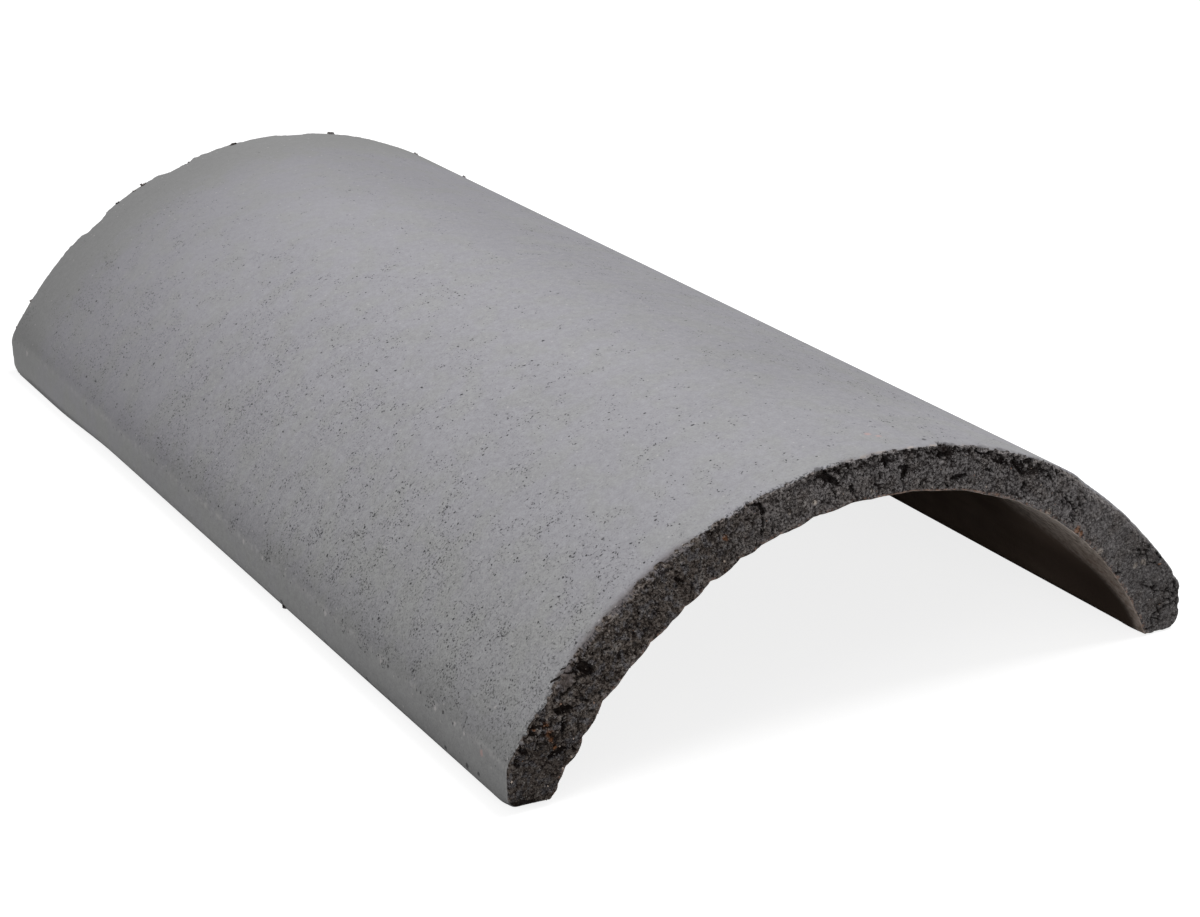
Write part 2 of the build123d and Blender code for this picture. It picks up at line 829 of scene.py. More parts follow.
def torn(g: Graph, place: Wire, tears: tuple[Tear, ...], upright: bool) -> Wire:
    """Depth of the given tears at a place.

    Args:
        g: The graph to add nodes to.
        place: Where to read it.
        tears: The tears.
        upright: Whether their places are across and up, or else along two level axes.

    Returns:
        The depth.
    """

    def hole(tear: Tear) -> Wire:
        """The depth of one tear."""
        run = (tear.end[0] - tear.start[0], tear.end[1] - tear.start[1])
        start, ahead = ((p[0], 0.0, p[1]) if upright else (p[0], p[1], 0.0) for p in (tear.start, run))
        from_start = g.vector("SUBTRACT", place, start)
        share = (g.dot(from_start, ahead) / (run[0] ** 2 + run[1] ** 2)).most(0.0).least(1.0)
        away = g.length(g.vector("SUBTRACT", from_start, g.scaled(g.joined(*ahead), share)))
        return away.step(tear.width * 1.3, tear.width * 0.5) * tear.depth

    return most_of(hole(tear) for tear in tears)


@dataclass
class Shell:
    """The casting as one closed mesh, fine at its ends and coarse between them.

    The section's outline is one loop of vertices. Rows of that loop run from end to end, and where the rows
    get coarser each keeps every second vertex of the row before. Each end is a grid that shares the loop's
    vertices. Each sag of the right flank is its depth in millimetres, its place and its half width.
    """

    section: Section
    half: float
    across: int = 896
    through: int = 40
    far_level: int = 1
    fine_step: float = 0.42 * MM
    level_rows: tuple[int, ...] = (10, 8, 6)
    middle_step: float = 9 * MM
    least_gap: float = 0.02 * MM
    middle_slack: float = 1e-9
    block: int = 2000
    rolled_arc: float = -88 * MM
    rolled_half_width: float = 34 * MM
    sags: tuple[tuple[float, float, float], ...] = ((0.8, 97 * MM, 15 * MM), (0.6, 122 * MM, 18 * MM))

    def __post_init__(self) -> None:
        """Lays out the loop, with its outward direction at each vertex."""
        outer = self.section.outer_half()
        inner = self.section.inner_half()
        mirror = np.array([-1, 1])
        self.outer = resampled(np.vstack([outer[::-1] * mirror, outer]), self.across)
        self.inner = resampled(np.vstack([inner, inner[::-1] * mirror]), self.across)
        self.foot = resampled(self.section.foot_half(), self.through)
        self.other_foot = self.foot[::-1] * mirror
        self.loop = np.vstack([self.outer[:-1], self.foot[:-1], self.inner[:-1], self.other_foot[:-1]])
        ahead = np.roll(self.loop, -1, 0) - np.roll(self.loop, 1, 0)
        ahead /= np.hypot(*ahead.T)[:, None]
        self.loop_out = np.stack([-ahead[:, 1], ahead[:, 0]], 1)

    def rows(self) -> list[tuple[float, int]]:
        """Each row's place along Y and its level. Each level has half as many vertices as the one before."""
        near_gaps = self._gaps(0)
        far_gaps = self._gaps(self.far_level)[::-1]
        near = [(gap - self.half, level) for gap, level in near_gaps]
        far = [(self.half - gap, level) for gap, level in far_gaps]
        space = far[0][0] - near[-1][0]
        count = round(space / self.middle_step)
        coarse = len(self.level_rows)
        middle = [(near[-1][0] + space * step / count, coarse) for step in range(1, count)]
        return near + middle + far

    def _gaps(self, finest: int) -> list[tuple[float, int]]:
        """The rows near an end, as distances from that end, with their levels."""
        gaps = [(0.0, finest)]
        for level in range(finest, len(self.level_rows)):
            for _ in range(self.level_rows[level]):
                gaps.append((gaps[-1][0] + self.fine_step * 2**level, level))
        return gaps

    def build(self) -> bpy.types.Object:
        """Makes the mesh, with what the wear needs to know stored on its vertices.

        Returns:
            The object, not yet worn.
        """
        points: list[np.ndarray] = []
        faces: list[list[int]] = []
        start = 0
        rings: list[tuple[int, int, int]] = []
        for y, level in self.rows():
            ring = self.loop[:: 2**level]
            points.append(np.stack([ring[:, 0], np.full(len(ring), y), ring[:, 1]], 1))
            rings.append((start, len(ring), level))
            start += len(ring)
        for near, far in zip(rings, rings[1:]):
            faces += self._strip(near, far)
        for side, (first, _, level) in zip(Side, (rings[0], rings[-1])):
            grid, more = self._end_grid(side, first, level, start)
            points.append(grid)
            start += len(grid)
            faces += more
        mesh = bpy.data.meshes.new(NODE + "_body")
        all_points = np.vstack(points)
        mesh.from_pydata(all_points.tolist(), [], faces)
        mesh.validate()
        self._store(mesh, all_points)
        return placed(NODE + "_body", mesh)

    def _mouth(self, place: np.ndarray, is_near: np.ndarray) -> np.ndarray:
        """How far the soffit's arris bulges into the hollow.

        Args:
            place: Distance along the soffit's arc from the crown, to the right.
            is_near: Whether the place is nearer to the near end.

        Returns:
            The bulge, which is less than zero where the arris is worn away.
        """
        far = (ripple(place, 9 * MM, 5) * 0.5 + ripple(place, 21 * MM, 7) * 0.4) * MM
        near = np.zeros(place.shape)
        for scallop in NEAR_MOUTH:
            away = np.clip(np.abs(place - scallop.arc) / scallop.half_width, 0, 1)
            near = np.maximum(near, scallop.out * (1 - away**2))
        near += 0.3 * MM * hump(place, -60 * MM, 120 * MM)
        near += (ripple(place, 3 * MM, 6) * 0.14 + ripple(place, 1.5 * MM, 8) * 0.07) * MM
        return np.where(is_near, near, far)

    @staticmethod
    def _strip(near: tuple[int, int, int], far: tuple[int, int, int]) -> list[list[int]]:
        """Faces between two rows.

        Args:
            near: First vertex, vertex count and level of one row.
            far: The same of the next row along Y.

        Returns:
            Quads, or five-sided faces where the level changes.
        """
        (a, count_a, level_a), (b, count_b, level_b) = near, far
        if level_a == level_b:
            return [[a + i, a + (i + 1) % count_a, b + (i + 1) % count_b, b + i] for i in range(count_a)]
        if level_a < level_b:
            return [
                [a + 2 * i, a + 2 * i + 1, a + (2 * i + 2) % count_a, b + (i + 1) % count_b, b + i]
                for i in range(count_b)
            ]
        return [
            [a + i, a + (i + 1) % count_a, b + (2 * i + 2) % count_b, b + 2 * i + 1, b + 2 * i]
            for i in range(count_a)
        ]

    def _end_grid(self, side: Side, first: int, level: int, start: int) -> tuple[np.ndarray, list[list[int]]]:
        """One end's inner vertices and its faces.

        Args:
            side: Which end.
            first: The end row's first vertex.
            level: The end row's level.
            start: Number of the first new vertex.

        Returns:
            The new vertices and the end's quads.
        """
        stride = 2**level
        columns, layers = self.across // stride, self.through // stride
        top, bottom = self.outer[::stride], self.inner[::-1][::stride]
        left, right = self.other_foot[::-1][::stride], self.foot[::stride]
        u = np.linspace(0, 1, columns + 1)[1:-1, None, None]
        v = np.linspace(0, 1, layers + 1)[None, 1:-1, None]
        patch = (1 - v) * top[1:-1, None] + v * bottom[1:-1, None]
        patch = patch + (1 - u) * left[None, 1:-1] + u * right[None, 1:-1]
        patch = patch - (1 - u) * (1 - v) * top[0] - u * (1 - v) * top[-1]
        patch = patch - (1 - u) * v * bottom[0] - u * v * bottom[-1]
        flat = patch.reshape(-1, 2)
        points = np.stack([flat[:, 0], np.full(len(flat), side.value * self.half), flat[:, 1]], 1)
        number = np.zeros((columns + 1, layers + 1), int)
        number[1:-1, 1:-1] = start + np.arange(len(flat)).reshape(columns - 1, layers - 1)
        total = 2 * (columns + layers)
        number[:, 0] = first + np.arange(columns + 1)
        number[-1, :] = first + columns + np.arange(layers + 1)
        number[:, -1] = first + columns + layers + columns - np.arange(columns + 1)
        number[0, :] = first + (total - np.arange(layers + 1)) % total
        corners = [number[:-1, :-1], number[:-1, 1:], number[1:, 1:], number[1:, :-1]]
        if side is Side.FAR:
            corners = corners[::-1]
        return points, np.stack([c.ravel() for c in corners], 1).tolist()

    def _store(self, mesh: bpy.types.Mesh, points: np.ndarray) -> None:
        """Stores on each vertex its gaps to the skin, the soffit and the nearer end, and its arris's wear."""
        flat = points[:, [0, 2]]
        skin = np.vstack([self.other_foot[:-1], self.outer, self.foot[1:]])
        ahead = self.across + self.through + 1
        skin_out = np.vstack([self.loop_out[-self.through :], self.loop_out[:ahead]])
        steps = np.hypot(*np.diff(skin, axis=0).T)
        arc = np.concatenate([[0], np.cumsum(steps)]) - steps.sum() / 2
        skin_gap = np.empty(len(flat))
        nearest = np.empty(len(flat), int)
        for begin in range(0, len(flat), self.block):
            part = slice(begin, begin + self.block)
            away = np.hypot(*(flat[part, None, axis] - skin[None, :, axis] for axis in (0, 1)))
            nearest[part] = away.argmin(1)
            skin_gap[part] = away.min(1)
        skin_gap[skin_gap < self.least_gap] = 0
        from_centre = flat - [0, self.section.inner_centre]
        reach = np.hypot(*from_centre.T)
        sign = np.sign(points[:, 1] + self.middle_slack)
        place = arc[nearest]
        near_wear, far_wear = NEAR_WEAR.profile(place), FAR_WEAR.profile(place)
        along, into, bare = (np.where(sign < 0, near, far) for near, far in zip(near_wear, far_wear))
        left_roll = hump(place, self.rolled_arc, self.rolled_half_width) * (sign < 0)
        sag = sum(depth * hump(place, at, half_width) for depth, at, half_width in self.sags)
        numbers = {
            "skin_gap": skin_gap,
            "soffit_gap": np.clip(reach - self.section.inner_radius, 0, None),
            "end_gap": self.half - np.abs(points[:, 1]),
            "wear_along": along,
            "wear_into": into,
            "is_near": (sign < 0).astype(float),
            "wear_bare": bare,
            "roll": (0.3 + 2.3 * left_roll) * MM,
            "sag": sag * (0.5 - points[:, 1] / (2 * self.half)) * MM,
            "mouth": self._mouth(self.section.inner_radius * np.arctan2(*from_centre.T), sign < 0),
        }
        flat_out = skin_out[nearest]
        zero = np.zeros(len(flat))
        vectors = {
            "skin_out": np.stack([flat_out[:, 0], zero, flat_out[:, 1]], 1),
            "soffit_in": np.stack([from_centre[:, 0] / reach, zero, from_centre[:, 1] / reach], 1),
            "inward": np.stack([zero, -sign, zero], 1),
            "unrolled": np.stack([place, points[:, 1], zero], 1),
        }
        for name, values in numbers.items():
            mesh.attributes.new(name, "FLOAT", "POINT").data.foreach_set("value", values.astype(np.float32))
        for name, values in vectors.items():
            flat_values = values.astype(np.float32).ravel()
            mesh.attributes.new(name, "FLOAT_VECTOR", "POINT").data.foreach_set("vector", flat_values)


@dataclass(frozen=True)
class Sizes:
    """Sizes that become the named inputs of a Geometry Nodes tree, in metres or as plain numbers."""

    def inputs(self) -> dict[str, float]:
        """Each size under its name as a panel shows it."""
        return {size.name.replace("_", " ").title(): getattr(self, size.name) for size in fields(self)}


class NodePiece:
    """A Geometry Nodes tree with named inputs, put on an object and then made into its plain mesh."""

    def __init__(self, name: str, sizes: Sizes) -> None:
        """Makes the tree's interface.

        Args:
            name: The tree's name.
            sizes: Its named inputs with their values.
        """
        self.sizes = sizes.inputs()
        self.tree = bpy.data.node_groups.new(name, "GeometryNodeTree")
        face = self.tree.interface
        face.new_socket(name="Geometry", in_out="INPUT", socket_type="NodeSocketGeometry")
        for label in self.sizes:
            face.new_socket(name=label, in_out="INPUT", socket_type="NodeSocketFloat")
        face.new_socket(name="Geometry", in_out="OUTPUT", socket_type="NodeSocketGeometry")
        self.graph = Graph(self.tree)
        self.inputs = self.graph.node("NodeGroupInput")

    def size(self, label: str) -> Wire:
        """One of the named inputs."""
        return Wire(self.graph, self.inputs.outputs[label])

    def geometry(self) -> Wire:
        """The geometry that comes in."""
        return Wire(self.graph, self.inputs.outputs["Geometry"])

    def kept_inside(self, geometry: Wire) -> Wire:
        """Holds real geometry inside the solid's own box, so that nothing sits lower than the bed."""
        g = self.graph
        low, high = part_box(NODE)
        place = g.wire("GeometryNodeInputPosition")
        held = g.vector("MINIMUM", g.vector("MAXIMUM", place, tuple(low)), tuple(high))
        return g.wire("GeometryNodeSetPosition", None, {"Geometry": geometry, "Position": held})

    def close(self, geometry: Wire, material: bpy.types.Material) -> None:
        """Ends the tree in Realize Instances and Set Material."""
        g = self.graph
        real = g.wire("GeometryNodeRealizeInstances", None, {"Geometry": geometry})
        inside = self.kept_inside(real)
        dressed = g.wire("GeometryNodeSetMaterial", None, {"Geometry": inside, "Material": material})
        g.node("NodeGroupOutput", None, {"Geometry": dressed})

    def apply(self, obj: bpy.types.Object) -> bpy.types.Object:
        """Runs the tree on an object, keeps the result as the object's plain mesh and returns the object."""
        modifier = obj.modifiers.new(self.tree.name, "NODES")
        modifier.node_group = self.tree
        for item in self.tree.interface.items_tree:
            if item.in_out == "INPUT" and item.name in self.sizes:
                modifier[item.identifier] = self.sizes[item.name]
        depsgraph = bpy.context.evaluated_depsgraph_get()
        made = bpy.data.meshes.new_from_object(obj.evaluated_get(depsgraph))
        obj.modifiers.clear()
        obj.data = made
        made.name = obj.name
        return obj


@dataclass(frozen=True)
class WearSizes(Sizes):
    """How deep or high each kind of wear goes, and how strongly the soffit's scallops show."""

    cut_depth: float = 0.34 * MM
    cut_waves: float = 0.9 * MM
    lump_height: float = 0.75 * MM
    crack_depth: float = 1.3 * MM
    pore_depth: float = 1.0 * MM
    grain_height: float = 0.40 * MM
    soffit_wear: float = 0.7 * MM
    soffit_waves: float = 1.0
    foot_wear: float = 1.2 * MM
    foot_swell: float = 1.5 * MM
    skin_waves: float = 0.22 * MM


class CastWear:
    """Wears the shell: worn arrises, crumbly cut ends with open voids, and a faintly uneven skin."""

    def __init__(self, material: bpy.types.Material, section: Section) -> None:
        """Builds the tree.

        Args:
            material: The casting's material.
            section: Its section.
        """
        self.piece = NodePiece("cast_wear", WearSizes())
        g = self.g = self.piece.graph
        self.place = g.wire("GeometryNodeInputPosition")
        self.end_gap = g.attribute("end_gap")
        self.skin_gap = g.attribute("skin_gap")
        self.soffit_gap = g.attribute("soffit_gap")
        self.inward = g.direction("inward")
        self.skin_out = g.direction("skin_out")
        self.soffit_in = g.direction("soffit_in")
        self.shelf = self._shelf(section)
        self.bevel = self._bevel()
        chip, chip_core = self._arris()
        mouth, mouth_core = self._soffit_arris()
        cut, cut_void = self._cut()
        offset = g.vector("ADD", g.vector("ADD", chip, mouth), cut)
        offset = g.vector("ADD", g.vector("ADD", offset, self._waves()), self._feet())
        roll = g.attribute("roll")
        rolled = self.skin_gap + (g.noise(self.place, 2.4, 3.0, 0.7) - 0.5) * (0.4 * MM + roll * 0.9)
        on_end = self.end_gap.ramp(0.35, 0.05) * rolled.step(0.05 * MM, roll)
        core = on_end.most(chip_core).most(mouth_core).most(self.notch)
        geometry = g.stored(self.piece.geometry(), "core", core)
        geometry = g.stored(geometry, "shelf", self.shelf)
        # The void share is painted dark in the cut as the shade inside its voids, notches and the foot's
        # bevel.
        geometry = g.stored(geometry, "void", cut_void * core)
        moved = g.wire("GeometryNodeSetPosition", None, {"Geometry": geometry, "Offset": offset})
        smooth = g.wire("FunctionNodeCompare", {"operation": "LESS_THAN"}, {0: core, 1: 0.5})
        self.piece.close(g.wire("GeometryNodeSetShadeSmooth", None, {0: moved, 2: smooth}), material)

    def _shelf(self, section: Section) -> Wire:
        """1 on the smooth shelf that is sunk into the near end's left arris."""
        g = self.g
        x, _, z = g.parts(self.place)
        place = g.drift(g.joined(x, self.end_gap * 1.6, z), 5, 1.6)
        away = g.length(g.vector("SUBTRACT", place, section.on_end(SHELF.arc, SHELF.below)))
        return away.step(SHELF.radius, SHELF.radius * 0.7) * g.attribute("is_near")

    def _bevel(self) -> Wire:
        """1 on the bevel that the near end's left foot is worn to, just over its bed. It joins the void share
        and so is painted dark as the shade under the foot.
        """
        g = self.g
        x, _, z = g.parts(self.place)
        height = (2.6 - 1.8 * x.ramp(-118, -108)) * MM
        wavy = z + (g.noise(self.place, 6, 1.0) - 0.5) * 0.8 * MM
        low = (wavy - height).ramp(0.5, -0.5)
        return low * x.ramp(-102, -105) * g.attribute("is_near") * self.end_gap.ramp(3, 1)

    def _feet(self) -> Wire:
        """The feet's undersides worn up at the near end, and the left foot's fuller corner at the far one."""
        g = self.g
        x, y, z = g.parts(self.place)
        side = 0.35 + 0.65 * x.ramp(60, -60) - 0.3 * x.ramp(-116, -109) * x.ramp(60, -60)
        share = self.end_gap.ramp(8, 0) * z.ramp(9, 1) * g.attribute("is_near") * side
        lift = share * (0.75 + 0.5 * g.noise(self.place, 6, 2.0)) * self.piece.size("Foot Wear")
        full = y.ramp(105, 170) * self.end_gap.ramp(0, 9) * x.ramp(-110, -116)
        swell = full * z.ramp(10, 5) * self.piece.size("Foot Swell")
        return g.vector("ADD", g.joined(0.0, 0.0, lift), g.scaled(self.skin_out, swell))

    def _arris(self) -> tuple[Wire, Wire]:
        """The outer arris's wear, as an offset, and where it bares the mix inside."""
        g = self.g
        rough = 0.7 + 0.6 * g.noise(self.place, 2.2, 2.0)
        along = g.attribute("wear_along") * rough
        into = g.attribute("wear_into") * rough
        share = (1 - self.end_gap / along - self.skin_gap / into).most(0.0) * 0.5
        crumble = g.noise(self.place, 1.1, 2.0, 0.6) * share.step(0.0, 0.25) * 0.25 * MM
        back = g.scaled(self.inward, share * along)
        down = g.scaled(self.skin_out, (share * into + crumble) * -1)
        bared = share.step(0.06, 0.36) * g.attribute("wear_bare").step(0.1, 0.6)
        return g.vector("ADD", back, down), bared

    def _soffit_arris(self) -> tuple[Wire, Wire]:
        """The inner arris: lightly rounded, and swollen in scallops that stand into the hollow."""
        g = self.g
        reach = self.piece.size("Soffit Wear") * (0.3 + 1.0 * g.noise(self.place, 7, 1.0))
        share = (1 - self.end_gap / reach - self.soffit_gap / reach).most(0.0) * 0.5
        back = g.scaled(self.inward, share * reach)
        swell = g.attribute("mouth") * self.piece.size("Soffit Waves")
        swell = swell * self.end_gap.ramp(10, 0) * self.soffit_gap.ramp(6, 0)
        up = g.scaled(self.soffit_in, share * reach - swell)
        return g.vector("ADD", back, up), share.step(0.16, 0.34)

    def _cut(self) -> tuple[Wire, Wire]:
        """The cut ends' relief, as an offset, and how far a place lies in a void."""
        g, size = self.g, self.piece.size
        x, _, z = g.parts(self.place)
        is_near = g.attribute("is_near")
        flat = g.joined(x, is_near * 0.5, z)
        left = x.ramp(-30, -95) * (0.25 + 0.75 * z.ramp(10, 24))
        under_skin = self.skin_gap.ramp(8, 2) * x.ramp(-60, -20) * x.ramp(90, 60)
        broken = x.ramp(-92, -100) * z.ramp(10, 24)
        loose = left.most(under_skin * 0.7)
        rim = self.skin_gap.least(self.soffit_gap * 0.8)
        fine = (0.12 + 0.88 * rim.ramp(0, 1.0)) * (1 - 0.75 * self.shelf)
        dished = 0.15 + 0.85 * rim.ramp(0, 2.6)
        waves = (g.noise(flat, 23, 1.0) - 0.5) * size("Cut Waves")
        domes = 0.45 - g.cells(g.drift(flat, 5, 1.5), 5.4, feature="SMOOTH_F1")
        lumps = domes * size("Lump Height") * (0.3 + 0.3 * loose + 1.0 * broken)
        patches = (g.noise(flat, 13, 1.0) + broken * 0.14 + under_skin * 0.08 - left * 0.04).step(0.53, 0.64)
        edge = g.cells(g.drift(flat, 2.4, 1.3), 4.3, feature="DISTANCE_TO_EDGE")
        cracks = edge.step(0.12, 0.02) * patches * size("Crack Depth")
        seam = self.skin_gap.ramp(0.5, 1.6) * self.skin_gap.ramp(5.5, 2.8)
        seam = seam * x.ramp(-24, -8) * x.ramp(78, 56)
        open_share = g.noise(flat, 9, 1.0) * 0.22 + loose * 0.06 + seam * 0.13
        pores = (g.noise(flat, 1.7, 1.5, 0.6) + open_share).step(0.68, 0.84) * size("Pore Depth")
        grain = 0.55 - g.cells(g.drift(flat, 0.9, 0.3), 1.05, metric="MANHATTAN")
        grain = (grain + (g.noise(flat, 1.9, 2.0, 0.7) - 0.5) * 1.6) * size("Grain Height")
        holes = torn(g, g.drift(g.joined(x, 0.0, z), 2.2, 0.6), CUT_TEARS, upright=True) * is_near
        self.notch = (holes * 0.75 - self.end_gap).ramp(-0.3, 0.3) * holes.ramp(0.6, 1.4)
        holes = holes.least(0.7 * MM + self.skin_gap * 6)
        fine = fine * (1 - 0.95 * self.bevel)
        hollow = ((cracks + pores) * fine).most(holes) + self.bevel * 1.4 * MM
        depth = ((size("Cut Depth") + waves) * dished - lumps * fine + hollow - grain * fine).most(0.03 * MM)
        offset = g.scaled(self.inward, depth * self.end_gap.ramp(6.5, 0))
        sunk = g.scaled(self.skin_out, self.notch * self.skin_gap.ramp(0.9, 0) * -1.3 * MM)
        return g.vector("ADD", offset, sunk), (hollow - grain * fine).ramp(0.10, 1.7).most(self.notch)

    def _waves(self) -> Wire:
        """The skin's and the soffit's unevenness, as an offset into the wall that leaves the beds flat."""
        g = self.g
        _, _, z = g.parts(self.place)
        above = z.ramp(1.5, 9)
        broad = g.noise(self.place, 60, 1.0) * 0.7 + g.noise(self.place, 16, 1.0) * 0.3
        depth = broad * above * self.piece.size("Skin Waves")
        sag = g.attribute("sag") * self.skin_gap.ramp(8, 0)
        down = g.scaled(self.skin_out, (depth * self.skin_gap.ramp(3, 0) + sag) * -1)
        up = g.scaled(self.soffit_in, depth * self.soffit_gap.ramp(3, 0))
        return g.vector("ADD", down, up)


@dataclass(frozen=True)
class Finish:
    """What one finish gives to its shader."""

    colour: Wire
    roughness: Wire
    height: Wire
    gloss: float

    def shader(self, g: Graph) -> Wire:
        """The finish as a shader of its own."""
        normal = g.wire("ShaderNodeBump", None, {"Strength": 1.0, "Distance": 1.0, "Height": self.height})
        sockets = {
            "Base Color": self.colour,
            "Roughness": self.roughness,
            "Normal": normal,
            "Specular IOR Level": self.gloss,
        }
        return g.wire("ShaderNodeBsdfPrincipled", None, sockets)


@dataclass(frozen=True)
class PitSize:
    """How far apart one kind of pit is, and its greatest radius, in millimetres."""

    apart: float
    radius: float


@dataclass(frozen=True)
class SlurrySkin:
    """The outer skin: mid grey, mottled cool and neutral, peppered with pinholes, lighter at the crease. Its
    tone by place is painted light and shade; its pinholes, cracks and nicks are painted dark as the shade in
    them, and its worn fringe partly so.
    """

    cool: Colour = grey_of(162, 161, 166)
    plain: Colour = grey_of(161, 161, 161)
    # Painted shade inside the pinholes and nicks.
    pit: Colour = grey_of(56, 56, 58)
    # The worn arris's own purple-brown, laid also as painted shade where the rolled arris turns from the
    # light.
    rim: Colour = grey_of(96, 87, 86)
    speck: Colour = grey_of(205, 200, 200)
    shelf: Colour = grey_of(104, 96, 94)
    lip: Colour = grey_of(196, 182, 172)
    pink: Colour = grey_of(192, 160, 156)
    large_pits: PitSize = PitSize(5.0, 0.56)
    small_pits: PitSize = PitSize(2.0, 0.38)
    tight_pits: PitSize = PitSize(1.25, 0.42)
    crease_pits: PitSize = PitSize(3.1, 0.8)

    def build(self, g: Graph, section: Section, half: float) -> Finish:
        """Adds the skin's nodes.

        Args:
            g: The material's graph.
            section: The casting's section.
            half: Half the casting's length.

        Returns:
            The skin.
        """
        flat = g.direction("unrolled")
        arc, y, _ = g.parts(flat)
        off_crown = g.math("ABSOLUTE", arc)
        crease = section.outer_radius * math.asin(section.width / 2 / section.outer_radius)
        cloud = g.noise(flat, 34, 3.0, 0.6, flat=True)
        tint = g.noise(flat, 15, 2.0, 0.6, flat=True)
        grit = g.noise(flat, 0.75, 2.0, 0.7, flat=True)
        sand = g.noise(flat, 2.6, 2.0, 0.65, flat=True)
        flank = off_crown.step(80 * MM, crease)
        low = off_crown.step(crease - 19 * MM, crease + 1 * MM)
        foot = off_crown.step(crease - 4 * MM, crease + 2.5 * MM)
        open_mix = off_crown.ramp(20, 125) * (1 - foot)
        near = y.step(0.6 * half, -half)
        far = y.step(0.4 * half, 0.98 * half)
        crown = off_crown.ramp(42, 0)
        middle = g.math("ABSOLUTE", y).step(0.75 * half, 0.3 * half)
        low_near = off_crown.ramp(80, 125) * near * (1 - 0.5 * foot)
        by_far_end = half - y
        # Painted light and shade by place: the tone below is darker on the flank, towards the far end and
        # along its edge, over the crown and low on the flank near the crease, and lighter on the foot band
        # and along the middle. It is darker at the foot's bottom towards the near end, lighter there towards
        # the far end, and darker under the rounded bottom corner. The mottle laid on it after is the skin's
        # own.
        far_edge_shade = by_far_end.ramp(60, 10) * (0.5 + 0.5 * arc.ramp(0, -40))
        crown_shade = arc.ramp(-34, 34) * (0.08 + 0.10 * y.step(-0.95 * half, -0.6 * half))
        crown_shade = crown_shade * (1 - 0.8 * y.step(0.45 * half, 0.95 * half))
        tone = 1.0 - flank * (0.03 + 0.05 * y.step(-0.1 * half, 0.4 * half))
        tone = tone - far_edge_shade * 0.12 * (1 - 0.6 * foot)
        tone = tone - low * (0.22 - 0.09 * y.step(0.0, 0.7 * half))
        tone = tone - crown_shade - far * (1 - flank) * 0.14 + 0.025 * middle
        tone = tone + foot * (0.145 + 0.105 * y.step(-half, half))
        foot_bottom_shading = off_crown.step(crease + 3 * MM, crease + 12 * MM)
        tone = tone * (1 - foot_bottom_shading * (0.20 * y.step(-0.3 * half, -0.75 * half) - 0.08 * y.step(0.0, half)))
        under_corner_shade = off_crown.step(crease + 11 * MM, crease + 14 * MM)
        tone = tone * (1 - (0.5 - 0.35 * y.step(-0.3 * half, 0.6 * half)) * under_corner_shade)
        plain = tint.step(0.42, 0.66) * 0.55 + near * 0.12 + foot * (0.6 - 0.3 * far) + low_near * 0.5
        base = g.blend((plain + by_far_end.ramp(50, 16)).least(1.0), self.cool, self.plain)
        patchy = g.noise(flat, 8, 3.0, 0.65, flat=True)
        grain = (sand - 0.5) * 0.30 + (grit - 0.5) * (0.38 + 0.14 * low_near) + (patchy - 0.5) * 0.09
        even = 1 - 0.46 * y.step(-0.1 * half, 0.7 * half)
        grain = grain * (0.80 + 0.34 * open_mix + 0.15 * foot)
        tone = tone * (1.0 + (cloud - 0.5) * 0.10 * even + grain * even)
        where = g.noise(flat, 24, 3.0, 0.6, flat=True) + open_mix * 0.12 - crown * 0.10 - 0.3 * foot
        where = where + near * 0.02 - far * 0.06 - by_far_end.ramp(40, 15) * 0.2
        bunch = self._spotted(g, g.drift(flat, 3, 1.6, flat=True), PIT_BUNCHES)
        bunched = g.noise(flat, 6, 3.0, 0.7, flat=True)
        crowd = where * 0.4 + bunched * 0.6
        bent = g.drift(flat, 1.1, 0.42, flat=True)
        tight = bunch.most((bunched * 0.7 + where * 0.3).step(0.58, 0.70) * (1 - foot))
        large = self._pits(g, bent, self.large_pits, crowd.step(0.44, 0.68) * 0.8)
        small = self._pits(g, bent, self.small_pits, crowd.step(0.47, 0.68) * 0.8)
        small = small.most(self._pits(g, bent, self.tight_pits, tight * 0.8))
        clusters = (g.noise(flat, 11, 3.0, 0.7, flat=True) * 0.6 + where * 0.4).step(0.44, 0.62)
        specks = g.noise(g.drift(flat, 2.0, 0.6, flat=True), 0.95, 2.0, 0.65, flat=True)
        end_gap = g.attribute("end_gap")
        near_half = y.step(0.0, -0.5 * half)
        by_edge = end_gap.ramp(3.4, 0.2) * near_half * arc.ramp(-4, -12) * (1 - foot)
        pepper = (specks + low_near * 0.03 + by_edge * 0.12 + bunch * 0.05).step(0.61, 0.69)
        pepper = pepper * clusters.most(low_near * 0.6).most(by_edge)
        pepper = pepper * (0.35 + 0.65 * open_mix).most(by_edge * 1.5)
        pepper = pepper.most((specks + 0.03).step(0.60, 0.70) * bunch)
        at_crease = (off_crown - crease) / MM
        shift = (g.noise(flat, 3, 2.0, 0.6, flat=True) - 0.5) * 2.4
        line = (at_crease + shift).step(-1.8, -0.2) * (at_crease + shift).step(1.5, 0.1)
        broken = g.noise(flat, 9, 4.0, 0.75, flat=True)
        line_pits = self._pits(g, bent, self.crease_pits, broken.step(0.44, 0.62)) * line
        colour = g.dimmed(base, tone)
        pale_line = line * (broken.step(0.60, 0.36) * 0.12 + sand.step(0.5, 0.66) * 0.13) * (1 - 0.6 * far)
        colour = g.blend(pale_line, colour, self.speck)
        soft = g.attribute("roll").ramp(1.0, 2.4)
        lip = end_gap.ramp(1.3, 0.4) * arc.ramp(-16, -6) * arc.ramp(44, 26)
        lip = lip * g.noise(flat, 5, 3.0, 0.7, flat=True).step(0.48, 0.60)
        colour = g.blend(lip * near_half * 0.5, colour, self.lip)
